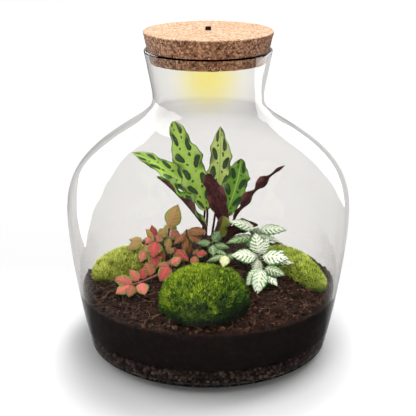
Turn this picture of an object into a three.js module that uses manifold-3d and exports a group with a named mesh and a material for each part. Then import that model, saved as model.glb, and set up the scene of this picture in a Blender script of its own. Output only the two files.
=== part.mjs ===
// Planted glass terrarium: a wide round-shouldered jar with a flared neck, a cork stopper with a
// small lamp set into its underside, a layer of drainage grains, soil, three moss cushions, one
// clump of patterned calathea and three kinds of fittonia. Millimetres, +Z up, the viewer at -Y.
import * as THREE from 'three';
import { mergeVertices } from 'three/addons/utils/BufferGeometryUtils.js';
import Module from 'manifold-3d';

const wasm = await Module();
wasm.setup();
const group = new THREE.Group();

// ---------------------------------------------------------------- driving dimensions (mm)
const GAP = 0.3; // clearance between pieces that rest on or in each other
const SEGMENTS = 28; // sides of every round body, so that nested bodies stay parallel
const SLIVER = 0.01; // slivers thinner than this are taken out of every body
const WALL = 3; // glass thickness
const BASE_THICKNESS = 5;
const RIM_Z = 283.6;
const JAR_OUTLINE = [ // outside of the glass, radius and height from foot to rim
  [75, 0], [102.6, 2.8], [111.3, 6.4], [113.9, 11.5], [120.7, 45.4], [125.9, 78], [129.8, 112],
  [131, 134], [129.4, 152], [124.5, 168], [113.5, 184], [98, 198], [77, 213], [61, 223.5],
  [52.6, 230.6], [50.1, 239], [51.3, 250], [57.6, 282.4],
];
const INNER_HEEL = [[96, BASE_THICKNESS], [107, 8.6], [110.9, 15]]; // rounded inside corner

const CORK_TOP_Z = 300;
const CORK_TOP_RADIUS = 58.1;
const CORK_BOTTOM_Z = 272.8;
const CORK_BOTTOM_RADIUS = 52.25;
const CORK_CHAMFER = 1;
const PLATE_RADIUS = 31.4; // white round plate under the cork
const PLATE_THICKNESS = 2;
const POCKET_RADIUS = 26; // pocket behind the plate for battery and driver board
const POCKET_DEPTH = 13;
const SCREW_RING_RADIUS = 28.8;
const SCREW_ANGLES = [15, 140, 215]; // degrees round the plate
const SENSOR_SIDE = 5;
const SENSOR_RISE = 2.8; // how far the sensor stands out of the cork's top
const LED_BOARD = { length: 28, width: 22, thickness: 1.2 };
const LED = { length: 3.5, width: 2.8, height: 0.8 };
const LED_PLACES = [[-9, 6], [0, 6], [9, 6], [-9, -6], [9, -6]];
const BATTERY = { length: 40, width: 25, height: 6 };
const DRIVER_BOARD = { length: 34, width: 22, thickness: 1.6 };

const GRAINS_TOP = 24; // drainage layer
const GRAIN_SIZE = 1.6; // relief of the grains
const SOIL_RIM = 61; // soil level at the glass
const SOIL_MOUND = 11; // how much higher the middle is
const CLOD_ROWS = 9; // rows of clods and hollows from the glass to the middle
const CLOD_RISE = 1.5; // most that a clod stands above, or a hollow lies below, the ground
const FOOT_Z = 58; // lower end of every planted stem
const COLLAR = 5; // every stem rises straight up to this height over the soil
const STEM_HOLE_CLEARANCE = 0.6;

// ---------------------------------------------------------------- solids and vectors
const vector = (values) => new THREE.Vector3(...values);
const radians = THREE.MathUtils.degToRad;

/** Closed body from corner points and the triangles between them. */
function bodyOf(points, triangles) {
  const mesh = new wasm.Mesh({
    numProp: 3,
    vertProperties: new Float32Array(points.flat()),
    triVerts: new Uint32Array(triangles.flat()),
  });
  return new wasm.Manifold(mesh);
}

/** Closed body of a three.js geometry. */
function bodyOfGeometry(geometry) {
  geometry.deleteAttribute('normal');
  geometry.deleteAttribute('uv');
  const merged = mergeVertices(geometry, 1e-4);
  const mesh = new wasm.Mesh({
    numProp: 3,
    vertProperties: new Float32Array(merged.attributes.position.array),
    triVerts: new Uint32Array(merged.index.array),
  });
  return new wasm.Manifold(mesh);
}

/** Adds a body to the model as one named mesh. */
function addNode(name, body, color, roughness, metalness = 0) {
  const { vertProperties, triVerts } = body.simplify(SLIVER).getMesh();
  const geometry = new THREE.BufferGeometry();
  geometry.setAttribute('position', new THREE.BufferAttribute(new Float32Array(vertProperties), 3));
  geometry.setIndex(new THREE.BufferAttribute(new Uint32Array(triVerts), 1));
  const material = new THREE.MeshStandardMaterial({ color, roughness, metalness });
  const mesh = new THREE.Mesh(geometry, material);
  mesh.name = name;
  group.add(mesh);
}

const fuse = (bodies) => bodies.reduce((whole, body) => whole.add(body));

/** The one main piece of a body, without loose scraps. */
function mainPiece(body) {
  return body.decompose().reduce((best, piece) => (piece.volume() > best.volume() ? piece : best));
}

/** Point ring round the vertical axis; radius and height may depend on the angle. */
function ring(count, radiusAt, heightAt) {
  return Array.from({ length: count }, (_, i) => {
    const angle = (2 * Math.PI * i) / count;
    const radius = radiusAt(angle, i);
    const x = radius * Math.sin(angle);
    const y = -radius * Math.cos(angle);
    return [x, y, heightAt(x, y, i)];
  });
}

/**
 * Closed body from a lower pole, rings of equal count and an upper pole. With checkered set, the
 * squares between rings are halved the other way in turn, so that raised points stand alone.
 */
function ringBody(lowerPole, rings, upperPole, checkered = false) {
  const count = rings[0].length;
  const points = [lowerPole, ...rings.flat(), upperPole];
  const last = points.length - 1;
  const triangles = [];
  for (let i = 0; i < count; i += 1) {
    const next = (i + 1) % count;
    triangles.push([0, 1 + next, 1 + i]);
    for (let k = 0; k + 1 < rings.length; k += 1) {
      const low = 1 + k * count;
      const high = low + count;
      if (checkered && (i + k) % 2) {
        triangles.push([low + i, low + next, high + i], [low + next, high + next, high + i]);
      } else {
        triangles.push([low + i, low + next, high + next], [low + i, high + next, high + i]);
      }
    }
    const top = last - count;
    triangles.push([top + i, top + next, last]);
  }
  return bodyOf(points, triangles);
}

/** Body of revolution; the profile of [radius, height] starts and ends on the axis. */
function revolve(profile, count = SEGMENTS) {
  const rings = profile.slice(1, -1).map(([radius, z]) => ring(count, () => radius, () => z));
  return ringBody([0, 0, profile[0][1]], rings, [0, 0, profile.at(-1)[1]]);
}

/** Upright cylinder or prism standing at x, y. */
function post(x, y, radius, bottom, top, sides) {
  const profile = [[0, bottom], [radius, bottom], [radius, top], [0, top]];
  return revolve(profile, sides).translate([x, y, 0]);
}

/** Upright box standing at x, y. */
function block(x, y, length, width, bottom, top) {
  const geometry = new THREE.BoxGeometry(length, width, top - bottom);
  geometry.translate(x, y, (top + bottom) / 2);
  return bodyOfGeometry(geometry);
}

// ---------------------------------------------------------------- glass jar
/** Profile moved inwards by the wall, square to the glass. */
function insetProfile(profile, distance) {
  const normals = profile.slice(1).map(([radius, z], i) => {
    const dr = radius - profile[i][0];
    const dz = z - profile[i][1];
    return [-dz / Math.hypot(dr, dz), dr / Math.hypot(dr, dz)];
  });
  return profile.map(([radius, z], i) => {
    const before = normals[Math.max(i - 1, 0)];
    const after = normals[Math.min(i, normals.length - 1)];
    const scale = distance / (1 + before[0] * after[0] + before[1] * after[1]);
    return [radius + scale * (before[0] + after[0]), z + scale * (before[1] + after[1])];
  });
}

const SIDE_START = 4; // first outline point above the heel
const innerSide = insetProfile(JAR_OUTLINE.slice(SIDE_START - 1), WALL).slice(1);
const innerProfile = [...INNER_HEEL, ...innerSide];

/** Inside radius of the glass at a height. */
function innerRadius(z) {
  const i = Math.max(1, innerProfile.findIndex((point) => point[1] >= z));
  const [[r0, z0], [r1, z1]] = [innerProfile[i - 1], innerProfile[i]];
  return r0 + ((r1 - r0) * (z - z0)) / (z1 - z0);
}

function glassJar() {
  const [lipRadius] = JAR_OUTLINE.at(-1);
  const lip = [[lipRadius - 0.8, RIM_Z], [lipRadius - WALL + 0.9, RIM_Z]]; // rounded rim
  return revolve([
    [0, 0], ...JAR_OUTLINE, ...lip, ...innerProfile.toReversed(), [0, BASE_THICKNESS],
  ]);
}

addNode('glass_jar', glassJar(), 0xdfe8e6, 0.05);

// ---------------------------------------------------------------- cork stopper and its lamp
const PLATE_TOP = CORK_BOTTOM_Z + PLATE_THICKNESS;
const RECESS_TOP = PLATE_TOP + GAP;
const POCKET_TOP = RECESS_TOP + POCKET_DEPTH;
const SCREW_SHANK = 0.9;
const SCREW_HEAD = 1.6;
const SCREW_HEAD_HEIGHT = 0.8;
const SCREW_LENGTH = 7;
const CABLE_HOLES = [[-7, -13], [-2.5, -14.5]]; // small holes in the plate, beside the board

const screwPlaces = SCREW_ANGLES.map((degrees) => {
  const angle = radians(degrees);
  return [SCREW_RING_RADIUS * Math.sin(angle), SCREW_RING_RADIUS * Math.cos(angle)];
});

function corkStopper() {
  const whole = revolve([
    [0, CORK_BOTTOM_Z], [CORK_BOTTOM_RADIUS - CORK_CHAMFER, CORK_BOTTOM_Z],
    [CORK_BOTTOM_RADIUS, CORK_BOTTOM_Z + CORK_CHAMFER],
    [CORK_TOP_RADIUS, CORK_TOP_Z - CORK_CHAMFER],
    [CORK_TOP_RADIUS - CORK_CHAMFER, CORK_TOP_Z], [0, CORK_TOP_Z],
  ]);
  const sensorHole = SENSOR_SIDE + 2 * GAP;
  const cuts = [
    post(0, 0, PLATE_RADIUS + GAP, CORK_BOTTOM_Z - 1, RECESS_TOP, SEGMENTS),
    post(0, 0, POCKET_RADIUS, RECESS_TOP - 1, POCKET_TOP, 14),
    block(0, 0, sensorHole, sensorHole, POCKET_TOP - 1, CORK_TOP_Z + 1),
  ];
  for (const [x, y] of screwPlaces) {
    const depth = CORK_BOTTOM_Z + SCREW_LENGTH + GAP;
    cuts.push(post(x, y, SCREW_SHANK + 2 * GAP, RECESS_TOP - 1, depth, 6));
  }
  return cuts.reduce((body, cut) => body.subtract(cut), whole);
}

function lampPlate() {
  const plate = post(0, 0, PLATE_RADIUS, CORK_BOTTOM_Z, PLATE_TOP, SEGMENTS);
  const holes = [...screwPlaces, ...CABLE_HOLES].map(([x, y]) => (
    post(x, y, SCREW_SHANK + 2 * GAP, CORK_BOTTOM_Z - 1, PLATE_TOP + 1, 6)
  ));
  return holes.reduce((body, hole) => body.subtract(hole), plate);
}

function plateScrew([x, y]) {
  const headTop = CORK_BOTTOM_Z - GAP;
  const head = post(x, y, SCREW_HEAD, headTop - SCREW_HEAD_HEIGHT, headTop, 10);
  const shankTop = CORK_BOTTOM_Z + SCREW_LENGTH;
  return head.add(post(x, y, SCREW_SHANK, headTop - SCREW_HEAD_HEIGHT / 2, shankTop, 6));
}

const boardTop = CORK_BOTTOM_Z - GAP;
const boardBottom = boardTop - LED_BOARD.thickness;
const batteryBottom = PLATE_TOP + GAP;
const driverBottom = batteryBottom + BATTERY.height + GAP;
const driverTop = driverBottom + DRIVER_BOARD.thickness;

function ledBoard() {
  const board = block(0, 0, LED_BOARD.length, LED_BOARD.width, boardBottom, boardTop);
  const resistor = block(0, -1, 4, 2.4, boardBottom - 0.7, boardBottom + 0.5);
  return board.add(resistor);
}

function driverBoard() {
  const { length, width } = DRIVER_BOARD;
  const board = block(0, 0, length, width, driverBottom, driverTop);
  const chip = block(-10, 2, 6, 5, driverTop - 0.5, driverTop + 1.4);
  const coil = post(10, -3, 3.2, driverTop - 0.5, driverTop + 2.6, 8);
  return fuse([board, chip, coil]);
}

addNode('cork_stopper', corkStopper(), 0xc08d5e, 0.9);
addNode('lamp_plate', lampPlate(), 0xf1f0ea, 0.5);
addNode('led_board', ledBoard(), 0xf4f4ef, 0.45);
LED_PLACES.forEach(([x, y], i) => {
  const chipTop = boardBottom - GAP;
  const chip = block(x, y, LED.length, LED.width, chipTop - LED.height, chipTop);
  addNode(`led_chip_${i + 1}`, chip, 0xffe27a, 0.35);
});
screwPlaces.forEach((place, i) => {
  addNode(`plate_screw_${i + 1}`, plateScrew(place), 0xb08d4a, 0.35, 1);
});
const battery = block(0, 0, BATTERY.length, BATTERY.width, batteryBottom,
  batteryBottom + BATTERY.height);
addNode('battery', battery, 0x9fa6ad, 0.4);
addNode('driver_board', driverBoard(), 0x2f6b45, 0.55);
const sensorTop = CORK_TOP_Z + SENSOR_RISE;
const sensor = block(0, 0, SENSOR_SIDE, SENSOR_SIDE, driverTop + GAP, sensorTop);
addNode('lid_sensor', sensor, 0x141414, 0.3);

// ---------------------------------------------------------------- drainage grains and soil
/** Gentle uneven ground, in mm above or below the mean. */
function unevenness(x, y) {
  const coarse = Math.sin(x * 0.11 + 1.3) * Math.cos(y * 0.09 - 0.4);
  const fine = Math.sin(x * 0.31 - y * 0.23) * Math.cos(y * 0.27 + x * 0.17 + 0.8);
  return 1.1 * coarse + 0.7 * fine;
}

/** Height of the smooth ground, higher in the middle. */
function groundLevel(x, y) {
  const reach = Math.hypot(x, y) / innerRadius(SOIL_RIM);
  return SOIL_RIM + SOIL_MOUND * Math.max(0, 1 - reach * reach) + unevenness(x, y);
}

/** Clod or, every second time, hollow at a row and column of the ground, of no set size. */
function clod(row, column) {
  const chance = Math.abs(Math.sin(row * 78.23 + (column % SEGMENTS) * 12.99) * 437.58) % 1;
  const middle = Math.min(1, (CLOD_ROWS - row) / 4);
  const size = row > 0 ? CLOD_RISE * middle * (0.55 + 0.45 * chance) : 0;
  return (row + column) % 2 ? size : -size;
}

/** Height of the soil surface, with its clods and hollows. */
function soilHeight(x, y) {
  const reach = Math.hypot(x, y) / innerRadius(SOIL_RIM);
  const row = CLOD_ROWS * Math.min(1, Math.max(0, 1 - reach));
  const column = SEGMENTS * (Math.atan2(x, -y) / (2 * Math.PI) + 1);
  const [outer, before] = [Math.floor(row), Math.floor(column)];
  const [inward, around] = [row - outer, column - before];
  const along = (k) => (1 - around) * clod(k, before) + around * clod(k, before + 1);
  return groundLevel(x, y) + (1 - inward) * along(outer) + inward * along(outer + 1);
}

const flushRadius = (z) => innerRadius(z) - GAP / Math.cos(Math.PI / SEGMENTS);

/** Soil block, its top surface lifted by an amount. */
function soilBlock(lift) {
  const bottom = GRAINS_TOP + GAP;
  const breakZ = innerSide[0][1]; // the glass bends here
  const rings = [bottom, breakZ].map((z) => ring(SEGMENTS, () => flushRadius(z), () => z));
  const surface = (x, y) => soilHeight(x, y) + lift;
  rings.push(ring(SEGMENTS, () => flushRadius(SOIL_RIM), surface));
  for (let row = 1; row < CLOD_ROWS; row += 1) {
    const radius = innerRadius(SOIL_RIM) * (1 - row / CLOD_ROWS);
    rings.push(ring(SEGMENTS, () => radius, surface));
  }
  return ringBody([0, 0, bottom], rings, [0, 0, surface(0, 0)], true);
}

/** Layer of grains: every second point of its wall stands back, row by row, as round grains do. */
function drainageGrains() {
  const count = 2 * SEGMENTS;
  const facet = Math.cos(Math.PI / SEGMENTS);
  const rows = [11.5, 15.6, 19.7, GRAINS_TOP - 0.4];
  const wall = rows.map((z, row) => ring(count, (_, i) => {
    const glass = flushRadius(z) * (i % 2 ? facet : 1);
    return glass - ((i + row) % 2 ? 0 : GRAIN_SIZE);
  }, () => z));
  const foot = ring(count, (_, i) => (INNER_HEEL[0][0] - 1) * (i % 2 ? facet : 1),
    () => BASE_THICKNESS + GAP);
  const crown = ring(count, () => 100, (x, y, i) => GRAINS_TOP - (i % 2 ? GRAIN_SIZE : 0));
  const rings = [foot, ...wall, crown];
  return ringBody([0, 0, BASE_THICKNESS + GAP], rings, [0, 0, GRAINS_TOP], true);
}

// ---------------------------------------------------------------- moss cushions
const MOSSES = [ // centre, half length, half width, height and turn of each cushion
  { name: 'front', x: -3.5, y: -72, a: 39.5, b: 41, height: 31.5, turn: 0 },
  { name: 'left', x: -80, y: 14, a: 24, b: 38, height: 19, turn: -40 },
  { name: 'right', x: 84, y: 8, a: 17, b: 49, height: 18.5, turn: 24.5 },
];
const MOSS_SIDES = 18;
const MOSS_BOTTOM = 50; // cut away by the soil

/** Domed cushion with a lightly lumpy surface, resting on the soil. */
function mossCushion({ x, y, a, b, height, turn }) {
  const angle = radians(turn);
  const ground = groundLevel(x, y);
  const place = (reach, lift) => Array.from({ length: MOSS_SIDES }, (_, i) => {
    const round = (2 * Math.PI * i) / MOSS_SIDES;
    const wobble = 1 + 0.03 * Math.sin(3 * round + x) + 0.02 * Math.sin(5 * round - y);
    const u = a * reach * wobble * Math.sin(round);
    const v = -b * reach * wobble * Math.cos(round);
    const px = x + u * Math.cos(angle) - v * Math.sin(angle);
    const py = y + u * Math.sin(angle) + v * Math.cos(angle);
    const lump = reach < 1 ? 0.9 * Math.sin(px * 0.35 + py * 0.2) * Math.sin(py * 0.4) : 0;
    return [px, py, lift === null ? MOSS_BOTTOM : ground + height * lift + lump];
  });
  const steps = [[1, 0.1], [0.985, 0.34], [0.9, 0.6], [0.7, 0.82], [0.38, 0.97]];
  const rings = [place(0.97, null), place(1, -0.12), ...steps.map(([r, h]) => place(r, h))];
  return ringBody([x, y, MOSS_BOTTOM], rings, [x, y, ground + height]);
}

const raisedSoil = soilBlock(GAP);
for (const moss of MOSSES) {
  addNode(`moss_${moss.name}`, mainPiece(mossCushion(moss).subtract(raisedSoil)), 0x6f9a2c, 0.95);
}

// ---------------------------------------------------------------- leaves and stems
/** Square, unit side and face directions of a leaf at a tangent. */
function leafFrame(tangent, face, twist) {
  const side = tangent.clone().cross(face).normalize();
  side.applyAxisAngle(tangent, twist);
  return { side, normal: side.clone().cross(tangent).normalize() };
}

/**
 * Leaf blade as a thin closed sheet. Its midrib bends from base over middle to tip, its outline
 * gives the half width along the midrib, and its surface function the height of a point over
 * the flat sheet. Both faces are cut into the same triangles.
 */
function blade({ base, middle, tip, face, twist = 0, width, thickness, rows, across, outline,
  surface }) {
  const control = middle.clone().multiplyScalar(2).addScaledVector(base, -0.5)
    .addScaledVector(tip, -0.5);
  const midrib = new THREE.QuadraticBezierCurve3(base, control, tip);
  const upper = [];
  const lower = [];
  for (const s of rows) {
    const centre = midrib.getPoint(s);
    const tangent = midrib.getTangent(s);
    const { side, normal } = leafFrame(tangent, face, radians(twist) * s);
    for (let j = 0; j <= across; j += 1) {
      const v = (2 * j) / across - 1;
      const half = Math.max(0.7, (width / 2) * outline(s, v));
      const point = centre.clone().addScaledVector(side, v * half)
        .addScaledVector(normal, surface(s, v, half));
      upper.push(point.clone().addScaledVector(normal, thickness / 2).toArray());
      lower.push(point.clone().addScaledVector(normal, -thickness / 2).toArray());
    }
  }
  return sheetBody(upper, lower, rows.length, across + 1);
}

/** Closed sheet between two point grids of the same layout. */
function sheetBody(upper, lower, rowCount, columnCount) {
  const offset = upper.length;
  const triangles = [];
  const quad = (a, b, c, d) => triangles.push([a, b, c], [a, c, d]);
  for (let i = 0; i + 1 < rowCount; i += 1) {
    for (let j = 0; j + 1 < columnCount; j += 1) {
      const a = i * columnCount + j;
      const b = a + 1;
      const c = b + columnCount;
      const d = a + columnCount;
      triangles.push([a, b, c], [a, c, d]);
      triangles.push([offset + a, offset + c, offset + b], [offset + a, offset + d, offset + c]);
    }
    const left = i * columnCount;
    const right = left + columnCount - 1;
    quad(left, left + columnCount, offset + left + columnCount, offset + left);
    quad(right, offset + right, offset + right + columnCount, right + columnCount);
  }
  for (let j = 0; j + 1 < columnCount; j += 1) {
    const end = (rowCount - 1) * columnCount + j;
    quad(j, offset + j, offset + j + 1, j + 1);
    quad(end, end + 1, offset + end + 1, offset + end);
  }
  return bodyOf([...upper, ...lower], triangles);
}

/** Round stem of few sides along a curve. */
function stem(curve, radius, sides, steps) {
  const section = new THREE.Shape(Array.from({ length: sides }, (_, i) => {
    const angle = (2 * Math.PI * i) / sides;
    return new THREE.Vector2(radius * Math.cos(angle), radius * Math.sin(angle));
  }));
  const geometry = new THREE.ExtrudeGeometry(section, {
    steps, extrudePath: curve, bevelEnabled: false,
  });
  return bodyOfGeometry(geometry);
}

const plantedStems = []; // foot and radius of every stem, for the holes in the soil

/** Curve that rises straight out of the soil at a foot and then follows its points. */
function plantedCurve([x, y], points, radius) {
  plantedStems.push({ x, y, radius });
  const ground = groundLevel(x, y);
  const upright = [[x, y, FOOT_Z], [x, y, ground + 1], [x, y, ground + COLLAR]];
  const path = [...upright, ...points].map(vector);
  return new THREE.CatmullRomCurve3(path, false, 'centripetal');
}

// ---------------------------------------------------------------- calathea
const CALATHEA_THICKNESS = 0.9;
const CALATHEA_PETIOLE = 1.25;
const CALATHEA_ROWS = Array.from({ length: 11 }, (_, i) => i / 10);
const TOWARDS_VIEWER = [0, -1, 0.35];
const CALATHEA_LEAVES = [ // petiole foot, then base, middle and tip of the blade
  { // long, low on the left
    foot: [-6, 38], base: [-4, 46, 122], middle: [-38, 53, 153], tip: [-75, 57, 172],
    face: [0.25, -0.8, 0.6], width: 19, blunt: 0.8, waves: 2.2, wave: 1.6, fold: 0.16,
  },
  { // tall, left of the middle
    foot: [-3, 42.2], base: [-1, 38, 119], middle: [-16, 41, 160], tip: [-35, 44, 204],
    face: TOWARDS_VIEWER, width: 27, blunt: 0.5, waves: 3, wave: 2.2, fold: 0.12,
  },
  { // tall, in the middle
    foot: [2, 43.8], base: [7, 50, 112], middle: [11, 56, 152], tip: [12, 58, 195],
    face: TOWARDS_VIEWER, width: 24, blunt: 0.6, waves: 2.5, wave: 1.5, fold: 0.12,
  },
  { // broad and dark, right of the middle
    foot: [6.6, 41.2], base: [17, 43, 111], middle: [27, 46, 141], tip: [32, 44, 169],
    face: [-0.15, -1, 0.3], width: 24, blunt: 0.55, waves: 2.5, wave: 1.6, fold: 0.14,
  },
  { // upright in front, back to the viewer
    foot: [5.5, 32.2], base: [16, 29, 107], middle: [8, 23, 137], tip: [-2, 22, 160],
    face: [-0.15, 1, 0.3], width: 17, blunt: 0.42, waves: 2, wave: 1.2, fold: 0.1,
  },
  { // low on the left, folded
    foot: [-5.2, 33], base: [-2, 31, 100], middle: [-24, 22, 134], tip: [-48, 11, 161],
    face: [0.35, -0.15, 0.9], width: 20, blunt: 0.6, waves: 2.6, wave: 2, fold: 0.55,
  },
  { // narrow, up to the right, back to the viewer
    foot: [8.8, 36.6], base: [25, 33, 111], middle: [46, 22, 145], tip: [71, 7, 173],
    face: [-0.6, 0.75, 0.45], width: 13, blunt: 0.6, waves: 3, wave: 1.6, fold: 0.25,
  },
  { // low on the right
    foot: [10.6, 32], base: [18, 27, 94], middle: [31, 24, 105], tip: [48, 21, 109],
    face: [0, 1, 0.35], width: 16, blunt: 0.6, waves: 1.5, wave: 1, fold: 0.25,
  },
  { // young, rolled, in the heart of the clump
    foot: [0.6, 30.4], base: [8, 28, 95], middle: [12, 23, 107], tip: [14, 21, 119],
    face: [0.35, -0.7, 0.5], width: 16, blunt: 0.5, waves: 1, wave: 0.6, fold: 0.5,
  },
];

/** Calathea leaf: a long blade with a waved edge on its own petiole. */
function calatheaLeaf(leaf) {
  const base = vector(leaf.base);
  const middle = vector(leaf.middle);
  const tip = vector(leaf.tip);
  const phase = (v) => 2 * Math.PI * leaf.waves + (v > 0 ? 2.1 : 0);
  const sheet = blade({
    base,
    middle,
    tip,
    face: vector(leaf.face).normalize(),
    width: leaf.width,
    thickness: CALATHEA_THICKNESS,
    rows: CALATHEA_ROWS,
    across: 4,
    outline: (s, v) => {
      const lance = s > 0 && s < 1 ? Math.sin(Math.PI * s ** 0.92) ** leaf.blunt : 0;
      return lance * (1 + 0.07 * Math.sin(phase(v) * s + 1.2));
    },
    surface: (s, v, half) => {
      const ripple = Math.sin(phase(v) * s) * Math.sin(Math.PI * s);
      return leaf.fold * Math.abs(v) * half + leaf.wave * v * v * ripple;
    },
  });
  const along = middle.clone().sub(base).normalize();
  const join = base.clone().addScaledVector(along, 4);
  const lean = 0.4;
  const halfway = [
    leaf.foot[0] + (leaf.base[0] - leaf.foot[0]) * lean,
    leaf.foot[1] + (leaf.base[1] - leaf.foot[1]) * lean,
    (groundLevel(...leaf.foot) + leaf.base[2]) / 2,
  ];
  const points = [halfway, leaf.base, join.toArray()];
  const curve = plantedCurve(leaf.foot, points, CALATHEA_PETIOLE);
  return sheet.add(stem(curve, CALATHEA_PETIOLE, 5, 6));
}

CALATHEA_LEAVES.forEach((leaf, i) => {
  addNode(`calathea_leaf_${i + 1}`, calatheaLeaf(leaf), 0x4f8f2f, 0.45);
});

// ---------------------------------------------------------------- fittonias
const FITTONIA_THICKNESS = 0.8;
const FITTONIA_STEM = 1.3;
const LIGHT = new THREE.Vector3(0, -0.8, 1).normalize(); // the leaves turn this way
const SMOOTH_ROWS = [0, 0.18, 0.34, 0.56, 0.8, 1];
const TOOTHED_ROWS = [0, 0.18, 0.3, 0.44, 0.58, 0.72, 0.86, 1];
const TOOTH_DEPTH = 0.12;
const STALK_END = 0.15; // share of the leaf that is its narrow stalk

// Each leaf: place on the stem, heading (degrees, 0 towards the viewer, 90 to the right), rise
// (degrees over the horizon), length, width.
const RED_FITTONIAS = [
  { // tall olive shoot
    foot: [-38, 28], path: [[-39, 27, 88], [-38, 24, 105]],
    leaves: [
      [1, 100, 70, 27, 18], [0.95, -70, -22, 14, 12], [0.9, 80, -24, 13, 12],
      [0.83, -5, -55, 18, 8], [0.86, 170, 20, 19, 13],
    ],
  },
  { // red shoot
    foot: [-45, 14], path: [[-48, 8, 84], [-51, 3, 104]],
    leaves: [
      [1, -90, 45, 12, 9], [0.96, -131, 72, 13, 8], [0.92, -6, -46, 18, 16],
      [0.78, -8, -50, 26, 14], [0.87, 50, -58, 22, 8], [0.82, 172, 15, 15, 11],
    ],
  },
  { // olive shoot on the left
    foot: [-51, 8], path: [[-56, 8, 84], [-62, 10, 98]],
    leaves: [
      [1, -66, -20, 19, 11], [0.95, -98, 4, 15, 9], [0.84, -20, -40, 18, 11],
      [0.9, 12, -45, 13, 8], [0.86, 165, 20, 14, 10],
    ],
  },
  { // shoot creeping forward on the left
    foot: [-40, -14], path: [[-46, -24, 77], [-58, -36, 76], [-71, -46, 75]],
    leaves: [
      [0.92, -82, 18, 20, 13], [0.84, -114, 48, 15, 10], [0.76, -150, 62, 12, 9],
      [0.62, -142, 55, 15, 14], [1, -50, -12, 18, 12], [0.95, -8, -16, 18, 11],
      [0.83, 18, -18, 18, 13],
    ],
  },
  { // pink leaves behind the front moss
    foot: [-31, -11], path: [[-34, -17, 78], [-36, -23, 87]],
    leaves: [
      [1, -36, -40, 19, 14], [0.93, 105, 30, 13, 10], [0.87, -100, 5, 13, 9],
      [0.8, 175, 30, 12, 9],
    ],
  },
  { // brown arching shoot
    foot: [-20, 27], path: [[-21, 24, 88], [-21, 19, 105]],
    leaves: [
      [1, 74, 0, 21, 11], [0.95, 60, -30, 20, 9], [0.91, -45, -24, 18, 8],
      [0.87, -14, -58, 18, 8], [0.83, 20, -58, 18, 8], [0.79, 168, 15, 15, 10],
    ],
  },
  { // low magenta shoot
    foot: [-24, 9], path: [[-28, 5, 79], [-32, 2, 93]],
    leaves: [[1, 64, -35, 18, 9], [0.92, 22, -50, 14, 8], [0.86, -125, 5, 11, 8]],
  },
  { // low pink shoot by the middle
    foot: [-12, 9], path: [[-13, 6, 77], [-12, 3, 87]],
    leaves: [[1, 62, 12, 13, 9], [0.93, -8, -28, 14, 9], [0.86, 168, 20, 12, 8]],
  },
];

const WHITE_FITTONIAS = [
  { // high shoot at the back
    foot: [39, 20], path: [[43, 17, 88], [47, 13, 108]],
    leaves: [
      [1, -78, 22, 30, 13], [0.96, 76, 6, 29, 13], [0.92, 105, 0, 26, 10],
      [0.87, 70, -12, 28, 6], [0.92, -52, -42, 17, 10], [0.83, -66, -4, 31, 11],
      [0.8, 170, 10, 20, 14],
    ],
  },
  { // middle shoot
    foot: [46, 0], path: [[47, -6, 78], [48, -12, 91]],
    leaves: [
      [1, -152, 68, 22, 18], [0.95, 128, 55, 20, 12], [0.92, -74, 10, 28, 17],
      [0.9, -28, -46, 15, 13], [0.94, 75, 2, 28, 18], [0.84, 108, 12, 27, 9],
      [0.8, 84, -2, 34, 10], [0.76, -170, 10, 16, 11],
    ],
  },
  { // low shoot in front
    foot: [49, -15], path: [[49, -22, 79], [50, -30, 87]],
    leaves: [
      [0.96, -54, -36, 23, 14], [1, -15, -34, 30, 17], [0.88, 41, -28, 23, 13],
      [0.93, 66, -10, 23, 13], [0.84, -32, -36, 22, 9],
    ],
  },
];

const CENTRE_FITTONIAS = [
  { // small pale shoot in front of the calathea
    foot: [6, 20], path: [[5, 15, 84], [4, 9, 96]],
    leaves: [
      [1, 100, 58, 14, 12], [0.96, -78, 4, 16, 9], [0.91, 74, -6, 17, 9], [0.93, 4, -48, 12, 11],
      [0.85, 50, -20, 18, 9],
    ],
  },
  { // lowest shoot, close to the front moss
    foot: [15, 5], path: [[16, 1, 79], [17, -4, 89]],
    leaves: [[1, -18, -42, 13, 11], [0.93, -80, -14, 19, 7], [0.88, 78, 10, 11, 8]],
  },
];

const TO_WIDEST = 0.55; // how fast a fittonia blade widens from its stalk
const TO_TIP = 0.95; // and narrows to its point
const WIDEST = TO_WIDEST / (TO_WIDEST + TO_TIP);

/** Fittonia leaf: a short stalk and a pointed oval blade, lifted along its midrib. */
function fittoniaLeaf(curve, [at, heading, rise, length, width], toothed) {
  const around = radians(heading);
  const up = radians(rise);
  const direction = vector([
    Math.cos(up) * Math.sin(around), -Math.cos(up) * Math.cos(around), Math.sin(up),
  ]);
  const face = LIGHT.clone().addScaledVector(direction, -LIGHT.dot(direction)).normalize();
  const root = curve.getPointAt(Math.min(at, 0.97));
  const tip = root.clone().addScaledVector(direction, length);
  const middle = root.clone().lerp(tip, 0.5).addScaledVector(face, 0.1 * length);
  const oval = (s) => {
    const u = (s - STALK_END) / (1 - STALK_END);
    if (u <= 0 || u >= 1) return 0;
    return (u / WIDEST) ** TO_WIDEST * ((1 - u) / (1 - WIDEST)) ** TO_TIP;
  };
  const rows = toothed ? TOOTHED_ROWS : SMOOTH_ROWS;
  return blade({
    base: root,
    middle,
    tip,
    face,
    width,
    thickness: FITTONIA_THICKNESS,
    rows,
    across: 2,
    outline: (s) => oval(s) * (toothed && rows.indexOf(s) % 2 ? 1 - TOOTH_DEPTH : 1),
    surface: (s, v, half) => -0.22 * Math.abs(v) * half,
  });
}

/** Leafy fittonia stem. */
function fittonia({ foot, path, leaves }, toothed) {
  const curve = plantedCurve(foot, path, FITTONIA_STEM);
  const bodies = leaves.map((leaf) => fittoniaLeaf(curve, leaf, toothed));
  return fuse([stem(curve, FITTONIA_STEM, 5, 6), ...bodies]);
}

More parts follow.
